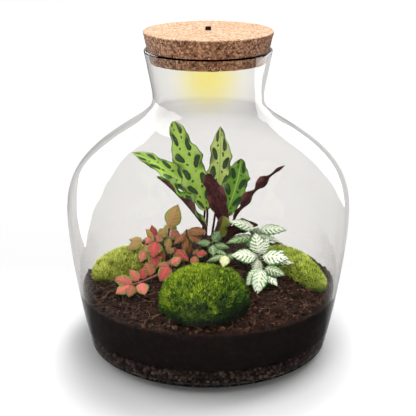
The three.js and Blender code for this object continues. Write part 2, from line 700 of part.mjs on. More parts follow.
RED_FITTONIAS.forEach((plant, i) => {
  addNode(`red_fittonia_${i + 1}`, fittonia(plant, false), 0xc65a55, 0.6);
});
WHITE_FITTONIAS.forEach((plant, i) => {
  addNode(`white_fittonia_${i + 1}`, fittonia(plant, true), 0xd9e8c8, 0.6);
});
CENTRE_FITTONIAS.forEach((plant, i) => {
  addNode(`centre_fittonia_${i + 1}`, fittonia(plant, true), 0xb7d3a0, 0.6);
});

// ---------------------------------------------------------------- planted soil
const stemHoles = plantedStems.map(({ x, y, radius }) => (
  post(x, y, radius + STEM_HOLE_CLEARANCE, FOOT_Z - GAP, SOIL_RIM + 2 * SOIL_MOUND, 6)
));
const soil = stemHoles.reduce((body, hole) => body.subtract(hole), soilBlock(0));
addNode('soil', soil, 0x3d2a22, 1);
addNode('drainage_grains', drainageGrains(), 0x6b4a37, 0.95);

export default group;
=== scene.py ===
"""Looks of the planted glass terrarium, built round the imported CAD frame.

Shapes are worked out in millimetres in the frame's axes (+Z up, the viewer at -Y) and scaled to
metres when a mesh is made. The tables of leaves, stems and mosses are those of the CAD source.
"""
import math

import bpy
import numpy as np
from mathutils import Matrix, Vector


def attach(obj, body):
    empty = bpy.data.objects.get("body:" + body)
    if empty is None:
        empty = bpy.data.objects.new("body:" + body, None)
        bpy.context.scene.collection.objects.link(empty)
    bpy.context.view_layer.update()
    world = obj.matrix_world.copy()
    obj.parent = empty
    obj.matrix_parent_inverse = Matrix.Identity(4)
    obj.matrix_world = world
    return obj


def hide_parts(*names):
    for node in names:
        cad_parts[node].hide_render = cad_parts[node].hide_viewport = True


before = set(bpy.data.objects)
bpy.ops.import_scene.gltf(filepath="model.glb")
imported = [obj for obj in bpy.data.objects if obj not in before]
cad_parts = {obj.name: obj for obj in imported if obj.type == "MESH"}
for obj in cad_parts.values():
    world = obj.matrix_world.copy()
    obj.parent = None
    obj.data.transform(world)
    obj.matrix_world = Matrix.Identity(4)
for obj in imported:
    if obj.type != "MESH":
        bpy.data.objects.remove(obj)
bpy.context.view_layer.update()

MM = 0.001
WORLD_UP = np.array([0.0, 0.0, 1.0])


def linked(name, data):
    """New object in the scene."""
    thing = bpy.data.objects.new(name, data)
    bpy.context.scene.collection.objects.link(thing)
    return thing


def hide(thing, *rays):
    """Hides an object from kinds of rays."""
    for ray in rays:
        setattr(thing, "visible_" + ray, False)


# ---------------------------------------------------------------- camera
CAMERA_PLACE = (0, -0.8856, 0.4348)
CAMERA_PITCH = 71.67  # degrees from straight down
CAMERA_LENS = 86.46  # both in millimetres
CAMERA_SENSOR = 36
CAMERA_SHIFT = (-0.0006, -0.01875)
CAMERA_CLIP = (0.05, 50)

camera_data = bpy.data.cameras.new("camera")
camera_data.sensor_width = CAMERA_SENSOR
camera_data.lens = CAMERA_LENS
camera_data.shift_x, camera_data.shift_y = CAMERA_SHIFT
camera_data.clip_start, camera_data.clip_end = CAMERA_CLIP
camera = linked("camera", camera_data)
camera.location = CAMERA_PLACE
camera.rotation_euler = (math.radians(CAMERA_PITCH), 0, 0)
bpy.context.scene.camera = camera


# ---------------------------------------------------------------- vectors, noise and curves
def unit(vectors):
    """Vectors of length one."""
    vectors = np.asarray(vectors, float)
    return vectors / np.maximum(np.linalg.norm(vectors, axis=-1, keepdims=True), 1e-12)


def smoothstep(low, high, values):
    """Smooth rise from 0 at low to 1 at high, which may lie the other way round."""
    share = np.clip((np.asarray(values, float) - low) / (high - low), 0, 1)
    return share * share * (3 - 2 * share)


def lattice_noise(points, size, seed):
    """Smooth noise from -1 to 1 over points, its lumps about size across."""
    place = np.asarray(points, float) / size + 13.7 * seed
    cell = np.floor(place).astype(np.int64)
    share = place - cell
    share = share * share * (3 - 2 * share)
    total = np.zeros(place.shape[:-1])
    for corner in np.ndindex(2, 2, 2):
        key = (cell + corner) @ np.array([374761393, 668265263, 2246822519]) + 974634 * seed
        key = (key ^ (key >> 13)) * 1274126177
        value = ((key ^ (key >> 16)) & 0xFFFF) / 32767.5 - 1
        weight = np.prod(np.where(np.array(corner) == 1, share, 1 - share), axis=-1)
        total += weight * value
    return total


def fractal_noise(points, size, seed, octaves=3):
    """Noise with finer noise on it, each octave half the size and half the height."""
    return sum(lattice_noise(points, size / 2**k, seed + k) / 2**k for k in range(octaves))


def spline(points, steps):
    """Centripetal Catmull-Rom line through points, steps to each stretch."""
    points = np.asarray(points, float)
    before = 2 * points[0] - points[1]
    after = 2 * points[-1] - points[-2]
    chain = np.vstack([before, points, after])
    share = (np.arange(steps) / steps)[:, None]
    out = []
    for p0, p1, p2, p3 in zip(chain, chain[1:], chain[2:], chain[3:]):
        d1, d2, d3 = (
            max(np.linalg.norm(b - a) ** 0.5, 1e-6) for a, b in ((p0, p1), (p1, p2), (p2, p3))
        )
        t1 = ((p1 - p0) / d1 - (p2 - p0) / (d1 + d2) + (p2 - p1) / d2) * d2
        t2 = ((p2 - p1) / d2 - (p3 - p1) / (d2 + d3) + (p3 - p2) / d3) * d2
        square, cube = share**2, share**3
        out.append(
            p1 + t1 * share + (3 * (p2 - p1) - 2 * t1 - t2) * square
            + (2 * (p1 - p2) + t1 + t2) * cube
        )
    return np.vstack([*out, points[-1:]])


def along_line(line, shares):
    """Points at shares of a line's length."""
    steps = np.linalg.norm(np.diff(line, axis=0), axis=1)
    length = np.concatenate([[0], np.cumsum(steps)])
    wanted = np.asarray(shares, float) * length[-1]
    return np.stack([np.interp(wanted, length, line[:, k]) for k in range(3)], axis=-1)


# ---------------------------------------------------------------- meshes
class Shape:
    """Points, faces and per-point values of one piece, in millimetres."""

    def __init__(self):
        self.points, self.faces, self.slots, self.values = [], [], [], {}
        self.count = 0

    def add(self, points, faces, slot=0, **values):
        """Adds points with one or more arrays of faces that index them."""
        points = np.asarray(points, float).reshape(-1, 3)
        for block in faces if isinstance(faces, (list, tuple)) else [faces]:
            self.faces.append(np.asarray(block, np.int64) + self.count)
            self.slots.append(np.full(len(block), slot))
        for name in dict.fromkeys([*self.values, *values]):  # 0 where a value isn't given
            value = np.asarray(values.get(name, 0), float)
            rows = self.values.setdefault(name, [])
            missing = self.count - sum(len(block) for block in rows)
            shape = value.shape[-1:] if value.ndim and value.shape[-1] == 3 else ()
            if rows:
                shape = rows[0].shape[1:]
            if missing:
                rows.append(np.zeros((missing, *shape)))
            rows.append(np.broadcast_to(value, (len(points), *shape)).astype(float))
        self.points.append(points)
        self.count += len(points)


def make_piece(name, shape, materials, replaced=(), slot=None, smooth=True):
    """Object of a shape, riding on the body and standing for its CAD nodes."""
    mesh = bpy.data.meshes.new(name)
    points = (np.concatenate(shape.points) * MM).astype(np.float32)
    mesh.vertices.add(len(points))
    mesh.vertices.foreach_set("co", points.ravel())
    sizes = np.concatenate([np.full(len(block), block.shape[1]) for block in shape.faces])
    corners = np.concatenate([block.ravel() for block in shape.faces]).astype(np.int32)
    mesh.loops.add(len(corners))
    mesh.loops.foreach_set("vertex_index", corners)
    mesh.polygons.add(len(sizes))
    starts = np.concatenate([[0], np.cumsum(sizes)[:-1]]).astype(np.int32)
    mesh.polygons.foreach_set("loop_start", starts)
    mesh.polygons.foreach_set("material_index", np.concatenate(shape.slots).astype(np.int32))
    mesh.polygons.foreach_set("use_smooth", np.full(len(sizes), smooth))
    for label, rows in shape.values.items():
        data = np.concatenate(rows)
        kind, field = ("FLOAT", "value") if data.ndim == 1 else ("FLOAT_VECTOR", "vector")
        attribute = mesh.attributes.new(label, kind, "POINT")
        attribute.data.foreach_set(field, data.astype(np.float32).ravel())
    mesh.update(calc_edges=True)
    mesh.validate()
    piece = linked(name, mesh)
    for material in materials:
        mesh.materials.append(material)
    if slot:
        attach(piece, "root")
    if replaced:
        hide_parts(*replaced)
    return piece


def grid_faces(rows, columns, wrap=False, flip=False):
    """Quads of a grid of points, rows by columns; wrap joins the last column to the first."""
    row, column = np.meshgrid(
        np.arange(rows - 1), np.arange(columns if wrap else columns - 1), indexing="ij"
    )
    following = (column + 1) % columns
    here, above = row * columns, (row + 1) * columns
    quads = np.stack([here + column, here + following, above + following, above + column], -1)
    quads = quads.reshape(-1, 4)
    return quads[:, ::-1] if flip else quads


def fan(first, count, pole, flip=False):
    """Triangles from a closed ring of points, which starts at index first, to a pole."""
    here = np.arange(count)
    edge = [first + here, first + (here + 1) % count]
    return np.stack([*(edge[::-1] if flip else edge), np.full(count, pole)], -1)


def closed_faces(rows, columns):
    """Faces of rows of rings, their ends closed with fans to the two points after them."""
    end = rows * columns
    return [
        grid_faces(rows, columns, wrap=True), fan(0, columns, end, flip=True),
        fan(end - columns, columns, end + 1),
    ]


def circle(count):
    """Angles round the vertical axis, starting at the viewer."""
    return 2 * np.pi * np.arange(count) / count


def round_points(radius, height, angles):
    """Points at a radius and height, angle 0 at the viewer and 90 degrees on the right."""
    radius, height, angles = np.broadcast_arrays(radius, height, angles)
    return np.stack([radius * np.sin(angles), -radius * np.cos(angles), height], axis=-1)


def lathe(profile, segments):
    """Points and faces of a body of revolution, whose profile starts and ends on the axis."""
    profile = np.asarray(profile, float)
    rings = profile[1:-1]
    grid = round_points(rings[:, :1], rings[:, 1:], circle(segments)[None])
    poles = [[0, 0, profile[0, 1]], [0, 0, profile[-1, 1]]]
    return np.vstack([grid.reshape(-1, 3), poles]), closed_faces(len(rings), segments)


def tube(line, radii, sides):
    """Points and faces of a round tube along a line, its ends closed to points."""
    line = np.asarray(line, float)
    tangents = unit(np.gradient(line, axis=0))
    normal = unit(np.cross(tangents[0], [0.3, 0.5, 0.81]))  # a way that no line starts in
    rings = []
    radii = np.broadcast_to(radii, len(line))
    for centre, tangent, radius in zip(line, tangents, radii):
        normal = unit(normal - tangent * (normal @ tangent))
        side = np.cross(tangent, normal)
        angles = circle(sides)[:, None]
        rings.append(centre + radius * (np.cos(angles) * normal + np.sin(angles) * side))
    return np.vstack([*rings, line[:1], line[-1:]]), closed_faces(len(line), sides)


# ---------------------------------------------------------------- materials
class Value:
    """Output of a shader node that can be used in formulas."""

    def __init__(self, paint, socket):
        self.paint, self.socket = paint, socket

    def math(self, operation, *others):
        return self.paint.node("Math", dict(enumerate((self, *others))), operation=operation)

    def __add__(self, other):
        return self.math("ADD", other)

    def __sub__(self, other):
        return self.math("SUBTRACT", other)

    def __mul__(self, other):
        return self.math("MULTIPLY", other)

    def __truediv__(self, other):
        return self.math("DIVIDE", other)

    def __rsub__(self, other):
        return (self * -1) + other

    def step(self, low, high):
        """Smooth step from 0 at low to 1 at high, which may lie the other way round."""
        node = {0: self, 1: min(low, high), 2: max(low, high), 3: 0.0, 4: 1.0}
        rise = self.paint.node("MapRange", node, interpolation_type="SMOOTHSTEP")
        return rise if low < high else 1 - rise


class Paint:
    """The nodes of a material, or of the world, put together from formulas."""

    def __init__(self, name, holders=bpy.data.materials):
        self.holder = holders.new(name)
        self.holder.use_nodes = True
        self.tree = self.holder.node_tree
        self.tree.nodes.clear()

    def node(self, kind, inputs=None, output=0, **settings):
        node = self.tree.nodes.new("ShaderNode" + kind)
        for key, value in settings.items():
            setattr(node, key, value)
        for key, value in (inputs or {}).items():
            if isinstance(value, Value):
                self.tree.links.new(value.socket, node.inputs[key])
            elif isinstance(value, tuple) and len(value) == 3 and node.inputs[key].type == "RGBA":
                node.inputs[key].default_value = (*value, 1)
            else:
                node.inputs[key].default_value = value
        return Value(self, node.outputs[output])

    def attribute(self, name, output="Fac"):
        return self.node("Attribute", output=output, attribute_name=name)

    def vector(self, name="", scale=(1, 1, 1)):
        """An attribute, or the place in the part in millimetres, stretched by a scale."""
        if name:
            source = self.attribute(name, "Vector")
        else:
            source = self.node("TexCoord", output="Object")
            scale = tuple(value / MM for value in scale)
        return self.node("VectorMath", {0: source, 1: scale}, operation="MULTIPLY")

    def split(self, vector):
        """The three parts of a vector."""
        sockets = self.node("SeparateXYZ", {0: vector}).socket.node.outputs
        return [Value(self, socket) for socket in sockets]

    def noise(self, vector, size, detail):
        return self.node("TexNoise", {"Vector": vector, "Scale": 1 / size, "Detail": detail})

    def cells(self, vector, size, feature="F1", output=0):
        inputs = {"Vector": vector, "Scale": 1 / size}
        return self.node("TexVoronoi", inputs, output=output, feature=feature)

    def mix(self, share, first, second):
        """Colour between two others."""
        return self.node("Mix", {0: share, 6: first, 7: second}, output=2, data_type="RGBA")

    def blend(self, share, first, second):
        """Number between two others."""
        return self.node("Mix", {0: share, 2: first, 3: second})

    def coats(self, colour, *coats):
        """A colour with coats over it, each of them (share, colour)."""
        for share, coat in coats:
            colour = self.mix(share, colour, coat)
        return colour

    def ramp(self, share, *stops):
        """Colours over a share; each stop is (place, colour)."""
        node = self.tree.nodes.new("ShaderNodeValToRGB")
        elements = node.color_ramp.elements
        while len(elements) < len(stops):
            elements.new(0.5)
        for element, (place, colour) in zip(elements, stops):
            element.position = place
            element.color = (*colour, 1)
        self.tree.links.new(share.socket, node.inputs[0])
        return Value(self, node.outputs[0])

    def ray(self, kind):
        """1 for rays of a kind, else 0; or how often a ray has bounced."""
        return self.node("LightPath", output=kind)

    def mirrored(self):
        """1 for rays that something has mirrored, else 0."""
        return self.ray("Glossy Depth").math("GREATER_THAN", 0.5)

    def bump(self, height, depth):
        """Relief of depth millimetres."""
        return self.node("Bump", {"Height": height, "Distance": depth * MM})

    def finish(self, shader, end="Surface", kind="Material"):
        node_output = self.tree.nodes.new("ShaderNodeOutput" + kind)
        self.tree.links.new(shader.socket, node_output.inputs[end])
        return self.holder

    def surface(self, **inputs):
        """Finishes with a principled surface; Base_Color here is its input Base Color."""
        named = {key.replace("_", " "): value for key, value in inputs.items()}
        return self.finish(self.node("BsdfPrincipled", named))

    def rough_surface(self, colour, roughness, size, detail, depth, **more):
        """Finishes with a surface whose relief is noise, its size and depth in millimetres."""
        relief = self.bump(self.noise(self.vector(), size, detail), depth)
        return self.surface(Base_Color=colour, Roughness=roughness, Normal=relief, **more)


# ---------------------------------------------------------------- sizes shared with the CAD
WALL = 3
BASE_THICKNESS = 5
JAR_SEGMENTS = 208
FOOT_RADIUS = 75
HEEL_REACH = 36.5  # how far the arc of the heel goes out
HEEL_Z = 8.5  # and how far it goes up
HEEL_LEAN = 0.213  # slope of the glass that is added to that arc
LIP_CENTRE = (55.9, 282.1)  # radius and height of the middle of the rounded rim
LIP_RADIUS = 1.5
SMOOTHINGS = 8  # rounds in which the points of the side move towards their neighbours
INNER_START = 19  # point of the outline from which the inside runs along it
INNER_HEEL = [[96, BASE_THICKNESS], [104, 6.3], [108.5, 9.4], [110.4, 13]]
JAR_SIDE = [  # height and outer radius of the glass over the heel
    [11.3, 113.9], [28.3, 117.5], [45.4, 120.7], [68.1, 124.3], [96.4, 127.9], [124.8, 130.6],
    [147.5, 130.1], [164.5, 125.9], [178.7, 117.9], [192.8, 104.5], [204.3, 89.8], [215.6, 72.6],
    [224.1, 60.2], [231.1, 52.6], [238.3, 50.3], [246.8, 50.7], [258.1, 52.8], [270.9, 55.2],
    [282.1, 57.4],
]
CORK_TOP_Z = 300
CORK_TOP_RADIUS = 58.1
CORK_BOTTOM_Z = 272.8
CORK_BOTTOM_RADIUS = 52.25
CORK_CHAMFER = 1
RECESS_RADIUS = 31.7  # recess for the lamp plate
RECESS_TOP = 275.1
POCKET_RADIUS = 26  # pocket for battery and driver board
POCKET_TOP = 288.1
SENSOR_HALF = 2.8  # half the side of the sensor's hole
GRAINS_TOP = 24
SOIL_RIM = 61  # level of the soil at the glass
SOIL_MOUND = 11  # how much higher the middle is
CLOD_ROWS = 9
CLOD_COLUMNS = 28
CLOD_RISE = 1.5  # most that a clod stands above, or a hollow lies below, the ground
FOOT_Z = 58  # lower end of every planted stem
COLLAR = 5  # every stem rises straight up to this height over the soil


def jar_profile():
    """Closed profile of the glass, radius and height, from the foot over the rim to the inside."""
    heights = HEEL_Z * (1 - np.cos(np.linspace(0, np.pi / 2, 16)))
    arc = np.sqrt(1 - (1 - heights / HEEL_Z) ** 2)
    heel = np.stack([FOOT_RADIUS + HEEL_REACH * arc + HEEL_LEAN * heights, heights], -1)
    side = spline([[r, z] for z, r in [[HEEL_Z, 113.31], *JAR_SIDE]], 8)[1:]
    for _ in range(SMOOTHINGS):
        side[1:-1] = (side[:-2] + 2 * side[1:-1] + side[2:]) / 4
    outer = np.vstack([heel, side])
    turn = np.linspace(0, np.pi, 10)[1:-1]
    lip = np.stack([LIP_RADIUS * np.cos(turn), LIP_RADIUS * np.sin(turn)], -1) + LIP_CENTRE
    steps = np.gradient(outer, axis=0)
    inward = unit(np.stack([-steps[:, 1], steps[:, 0]], -1))
    inner = (outer + inward * WALL)[INNER_START:]
    corner = spline([*INNER_HEEL, inner[0]], 5)[:-1]
    return outer, lip, np.vstack([corner, inner])


jar_outer, jar_lip, jar_inner = jar_profile()


def inner_radius(height):
    """Inside radius of the glass at a height."""
    return np.interp(height, jar_inner[:, 1], jar_inner[:, 0])


CAD_INNER_RIM = 120.12  # inside radius of the glass where the soil's surface meets it


def unevenness(x, y):
    """Long and short waves of the ground, as in the CAD source."""
    coarse = np.sin(x * 0.11 + 1.3) * np.cos(y * 0.09 - 0.4)
    fine = np.sin(x * 0.31 - y * 0.23) * np.cos(y * 0.27 + x * 0.17 + 0.8)
    return 1.1 * coarse + 0.7 * fine


def ground_level(x, y):
    """Height of the smooth ground, as in the CAD source."""
    reach = np.hypot(x, y) / CAD_INNER_RIM
    return SOIL_RIM + SOIL_MOUND * np.maximum(0, 1 - reach * reach) + unevenness(x, y)


def clod(row, column):
    """Clod or, every second time, hollow at a row and column of the ground."""
    chance = np.abs(np.sin(row * 78.23 + (column % CLOD_COLUMNS) * 12.99) * 437.58) % 1
    middle = np.clip((CLOD_ROWS - row) / 4, 0, 1)
    size = (row > 0) * CLOD_RISE * middle * (0.55 + 0.45 * chance)
    return np.where((row + column) % 2 > 0, size, -size)


def soil_height(x, y):
    """Height of the soil surface with its clods, as in the CAD source but rounded."""
    row = CLOD_ROWS * np.clip(1 - np.hypot(x, y) / CAD_INNER_RIM, 0, 1)
    column = CLOD_COLUMNS * (np.arctan2(x, -y) / (2 * np.pi) + 1)
    outer, before = np.floor(row), np.floor(column)
    inward = smoothstep(0, 1, row - outer)
    around = smoothstep(0, 1, column - before)
    near, far = (
        (1 - around) * clod(k, before) + around * clod(k, before + 1) for k in (outer, outer + 1)
    )
    return ground_level(x, y) + (1 - inward) * near + inward * far


# ---------------------------------------------------------------- glass jar
def glass_material():
    """Clear glass that lets light pass straight to what stands in it and behind it."""
    paint = Paint("clear_glass")
    ripple = paint.noise(paint.vector(), 60.0, 1.0)
    glass = paint.node("BsdfGlass", {
        "Color": (0.982, 0.976, 0.968), "Roughness": 0.0, "IOR": 1.46,
        "Normal": paint.bump(ripple, 0.25),
    })
    through = paint.node("BsdfTransparent", {"Color": (0.965, 0.97, 0.965)})
    passing = paint.ray("Is Shadow Ray").math("MAXIMUM", paint.ray("Is Diffuse Ray"))
    return paint.finish(paint.node("MixShader", {0: passing, 1: glass, 2: through}))


profile = np.vstack([[[0, 0]], jar_outer, jar_lip, jar_inner[::-1], [[0, BASE_THICKNESS]]])
jar = Shape()
jar.add(*lathe(profile, JAR_SEGMENTS))
make_piece("jar_glass", jar, [glass_material()], ["glass_jar"], "glass")


# ---------------------------------------------------------------- cork stopper
def cork_material():
    """Pressed granules, pale on top and darker on the side, partly their own colour and partly
    painted light and shade.
    """
    paint = Paint("agglomerated_cork")
    place = paint.vector()
    warped = paint.node("VectorMath", {
        0: place, 1: paint.node("TexNoise", {"Vector": place, "Scale": 0.6}, output="Color"),
    }, operation="ADD")
    granule = paint.cells(warped, 1.5, output="Color")
    shade = paint.node("SeparateColor", {0: granule})
    edges = paint.cells(warped, 1.5, feature="DISTANCE_TO_EDGE")
    fine = paint.noise(place, 0.8, 3.0)
    patches = paint.noise(place, 14.0, 2.0)
    tone = shade * 0.6 + fine * 0.5 + patches * 0.2 - 0.15
    # Colours of the top and of the side: the top's are paler partly as painted light, the side's
    # darker partly as painted shade.
    top = paint.ramp(
        tone, (0.05, (0.3, 0.13, 0.05)), (0.3, (0.5, 0.28, 0.15)), (0.5, (0.7, 0.45, 0.29)),
        (0.9, (0.86, 0.66, 0.48)),
    )
    flank_with_shade = paint.ramp(
        tone, (0.05, (0.035, 0.01, 0.004)), (0.35, (0.19, 0.072, 0.03)),
        (0.6, (0.36, 0.165, 0.08)), (0.95, (0.72, 0.44, 0.26)),
    )
    side = paint.attribute("side")
    specks = paint.noise(place, 1.1, 2.0).step(0.66, 0.74)
    colour = paint.coats(
        paint.mix(side, top, flank_with_shade), (specks * (side * 0.5 + 0.3), (0.12, 0.045, 0.02)),
        (edges.step(0.07, 0.0) * 0.35, (0.2, 0.085, 0.036)),
        # Painted shade: the pits are darkened nearly to black, as shade falls in them.
        (paint.attribute("pit"), (0.02, 0.008, 0.004)),
    )
    relief = paint.bump(edges.step(0.0, 0.12) + fine * 0.6, 0.35)
    return paint.surface(Base_Color=colour, Roughness=0.88, Normal=relief)


def square_radius(angles, half):
    """Distance from the middle of a square, half its side given, to its edge at angles."""
    return half / np.maximum(np.abs(np.sin(angles)), np.abs(np.cos(angles)))


CORK_SEGMENTS = 384


def cork_shape():
    """Tapered stopper with the lamp's recess and pocket below and the sensor's hole on top."""
    angles = circle(CORK_SEGMENTS)
    corners = np.array([
        [5, CORK_TOP_Z], [CORK_TOP_RADIUS - CORK_CHAMFER, CORK_TOP_Z],
        [CORK_TOP_RADIUS, CORK_TOP_Z - CORK_CHAMFER],
        [CORK_BOTTOM_RADIUS, CORK_BOTTOM_Z + CORK_CHAMFER],
        [CORK_BOTTOM_RADIUS - CORK_CHAMFER, CORK_BOTTOM_Z], [RECESS_RADIUS, CORK_BOTTOM_Z],
    ])
    rings = [62, 2, 38, 2, 20]  # from each corner to the next
    profile = np.vstack([
        *(a + (b - a) * np.arange(n)[:, None] / n for a, b, n in zip(corners, corners[1:], rings)),
        corners[-1:], [[RECESS_RADIUS, RECESS_TOP]], [[POCKET_RADIUS, RECESS_TOP]],
        [[POCKET_RADIUS, POCKET_TOP]],
    ])
    grid = round_points(profile[:, :1], profile[:, 1:], angles[None])
    hole = square_radius(angles, SENSOR_HALF)
    hole_top = round_points(hole, CORK_TOP_Z, angles)[None]
    hole_bottom = round_points(hole, POCKET_TOP, angles)[None]
    grid = np.concatenate([hole_top, grid, hole_bottom, hole_top])
    height = grid[..., 2]
    radius = np.hypot(grid[..., 0], grid[..., 1])
    outside = (radius > SENSOR_HALF * 1.7) & ((height > POCKET_TOP + 0.1) | (radius > 33))
    rough = fractal_noise(grid, 2.4, 3, 2)
    pits = smoothstep(0.52, 0.8, lattice_noise(grid, 2.1, 11)) * outside
    wall = smoothstep(CORK_TOP_Z - 0.4, CORK_TOP_Z - 1.4, height)
    grit = fractal_noise(grid, 1.5, 17, 2) * wall
    depth = outside * (0.13 * rough + 0.25 * grit + pits * (0.15 + 0.7 * wall)) + 0.12 * outside
    inward = np.stack([-grid[..., 0], -grid[..., 1], 0 * height], -1)
    inward = unit(inward) * wall[..., None] + (1 - wall[..., None]) * -WORLD_UP
    inward = np.where((height < CORK_BOTTOM_Z + 0.2)[..., None], WORLD_UP, inward)
    grid = grid + inward * depth[..., None]
    shape = Shape()
    faces = grid_faces(len(grid), CORK_SEGMENTS, wrap=True, flip=True)
    # pit is the share of painted shade in the pits.
    shape.add(grid, faces, pit=(pits * (0.3 + 0.7 * wall)).ravel(), side=wall.ravel())
    return shape


make_piece("cork", cork_shape(), [cork_material()], ["cork_stopper"], "cork")


# ---------------------------------------------------------------- lamp in the stopper
def plain_material(name, dark, light, size, roughness, metallic=0.0, **more):
    """Moulded or cut surface with a faint mottle and fine relief."""
    paint = Paint(name)
    place = paint.vector()
    mottle = paint.noise(place, size, 4.0)
    colour = paint.mix(mottle, dark, light)
    worn = paint.noise(place, size * 2, 2.0) * 0.2 + (roughness - 0.1)
    return paint.rough_surface(colour, worn, size / 6, 2.0, 0.02, Metallic=metallic, **more)


def led_material():
    """Yellow phosphor window in a pale frame, lit."""
    paint = Paint("lit_led")
    mottle = paint.noise(paint.vector(), 1.2, 1.0)
    colour = paint.mix(mottle, (0.9, 0.66, 0.12), (1.0, 0.86, 0.34))
    return paint.surface(
        Base_Color=colour, Roughness=0.3, Emission_Color=colour, Emission_Strength=6.0
    )


def dress(names, material):
    """Gives CAD nodes that stay a better material."""
    for name in names:
        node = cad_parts[name]
        if not node.material_slots:
            node.data.materials.append(material)
        for holder in node.material_slots:
            holder.material = material


dress(["lamp_plate"], plain_material(
    "white_plastic", (0.8, 0.79, 0.76), (0.9, 0.89, 0.87), 9.0, 0.45))
dress(["led_board"], plain_material(
    "white_circuit_board", (0.78, 0.79, 0.76), (0.9, 0.9, 0.88), 3.0, 0.35))
dress([f"led_chip_{k}" for k in range(1, 6)], led_material())
dress([f"plate_screw_{k}" for k in range(1, 4)], plain_material(
    "brass", (0.5, 0.33, 0.11), (0.72, 0.5, 0.2), 2.0, 0.3, 1.0))
dress(["battery"], plain_material(
    "battery_wrap", (0.34, 0.37, 0.42), (0.45, 0.48, 0.52), 12.0, 0.35))
dress(["driver_board"], plain_material(
    "green_circuit_board", (0.015, 0.1, 0.04), (0.03, 0.17, 0.07), 4.0, 0.4))
dress(["lid_sensor"], plain_material(
    "black_plastic", (0.006, 0.005, 0.005), (0.014, 0.012, 0.011), 3.0, 0.9,
    Specular_IOR_Level=0.05))


# ---------------------------------------------------------------- soil
def soil_material():
    """Dark soil with pale specks, darker still on its side behind the glass, partly damp and partly
    painted shade.
    """
    paint = Paint("potting_soil")
    place = paint.vector()
    lumps = paint.noise(place, 5.0, 5.0)
    grain = paint.cells(place, 1.3, output="Color")
    speck = paint.node("SeparateColor", {0: grain})
    tone = lumps * 0.9 + speck * 0.28 - 0.1
    colour = paint.ramp(
        tone, (0.1, (0.004, 0.0016, 0.001)), (0.45, (0.015, 0.0062, 0.004)),
        (0.72, (0.05, 0.022, 0.014)), (1.0, (0.17, 0.09, 0.055)),
    )
    wet = paint.attribute("wet")
    # The side against the glass is darkened, partly as damp soil and partly as painted shade.
    colour = paint.mix(wet * 0.75, colour, (0.004, 0.0024, 0.002))
    return paint.rough_surface(colour, 0.95, 1.6, 4.0, 0.9)


def crumb_height(x, y):
    """Fine crumbs on the soil surface."""
    flat = np.stack([x, y, np.zeros_like(x)], -1)
    lumps = 1 - np.abs(lattice_noise(flat, 5.5, 21)) * 2
    return 0.8 * lumps + 0.75 * fractal_noise(flat, 3.1, 23, 3)


SOIL_SEGMENTS = 660
SOIL_BOTTOM = GRAINS_TOP + 0.3
CONTACT = 0.9  # how far damp soil reaches into the glass, so that it lies against it all over


def soil_shape():
    """Soil with a crumbly top, its side pressed against the glass."""
    angles = circle(SOIL_SEGMENTS)
    side = []
    for z in np.linspace(SOIL_BOTTOM, SOIL_RIM - 1.5, 36):
        points = round_points(inner_radius(z) + CONTACT, z, angles)
        relief = 0.35 * fractal_noise(points, 4.0, 31, 3)
        side.append(round_points(inner_radius(z) + CONTACT + relief, z, angles))
    reach = inner_radius(SOIL_RIM) + CONTACT
    shares = np.concatenate([[1.0], 1 - np.linspace(0, 1, 112)[1:-1] ** 0.9])
    top = []
    for share in shares:
        flat = round_points(reach * share, 0.0, angles)
        x, y = flat[:, 0], flat[:, 1]
        flat[:, 2] = soil_height(x, y) + crumb_height(x, y)
        top.append(flat)
    grid = np.array([*side, *top])
    base = round_points(np.array([[20.0], [100.0]]), SOIL_BOTTOM, angles[None])
    grid = np.concatenate([base, grid])
    # Share of dampness and painted shade: the side against the glass, below the rim.
    wet = smoothstep(SOIL_RIM + 4, SOIL_RIM - 3, grid[..., 2])
    wet *= np.hypot(grid[..., 0], grid[..., 1]) > inner_radius(grid[..., 2]) - 5
    poles = [[0, 0, float(grid[-1, :, 2].mean())], [0, 0, SOIL_BOTTOM]]
    end = len(grid) * SOIL_SEGMENTS
    faces = [
        grid_faces(len(grid), SOIL_SEGMENTS, wrap=True),
        fan(end - SOIL_SEGMENTS, SOIL_SEGMENTS, end), fan(0, SOIL_SEGMENTS, end + 1, flip=True),
    ]
    shape = Shape()
    shape.add(np.vstack([grid.reshape(-1, 3), poles]), faces, wet=np.append(wet, [0, 0]))
    return shape


ICO = (1 + 5**0.5) / 2
ICO_POINTS = unit([
    [-1, ICO, 0], [1, ICO, 0], [-1, -ICO, 0], [1, -ICO, 0], [0, -1, ICO], [0, 1, ICO],
    [0, -1, -ICO], [0, 1, -ICO], [ICO, 0, -1], [ICO, 0, 1], [-ICO, 0, -1], [-ICO, 0, 1],
])
ICO_FACES = np.array([
    [0, 11, 5], [0, 5, 1], [0, 1, 7], [0, 7, 10], [0, 10, 11], [1, 5, 9], [5, 11, 4],
    [11, 10, 2], [10, 7, 6], [7, 1, 8], [3, 9, 4], [3, 4, 2], [3, 2, 6], [3, 6, 8], [3, 8, 9],
    [4, 9, 5], [2, 4, 11], [6, 2, 10], [8, 6, 7], [9, 8, 1],
])


def finer_ball():
    """Round ball of 80 faces."""
    points, faces, middles = list(ICO_POINTS), [], {}

    def middle(a, b):
        key = (min(a, b), max(a, b))
        if key not in middles:
            middles[key] = len(points)
            points.append(unit(points[a] + points[b]))
        return middles[key]

    for a, b, c in ICO_FACES:
        ab, bc, ca = middle(a, b), middle(b, c), middle(c, a)
        faces += [[a, ab, ca], [b, bc, ab], [c, ca, bc], [ab, bc, ca]]
    return np.array(points), np.array(faces)


BALL_POINTS, BALL_FACES = finer_ball()


def random_turns(rng, count):
    """Random rotation matrices."""
    first = unit(rng.normal(size=(count, 3)))
    second = unit(np.cross(first, rng.normal(size=(count, 3))))
    return np.stack([first, second, np.cross(first, second)], axis=1)


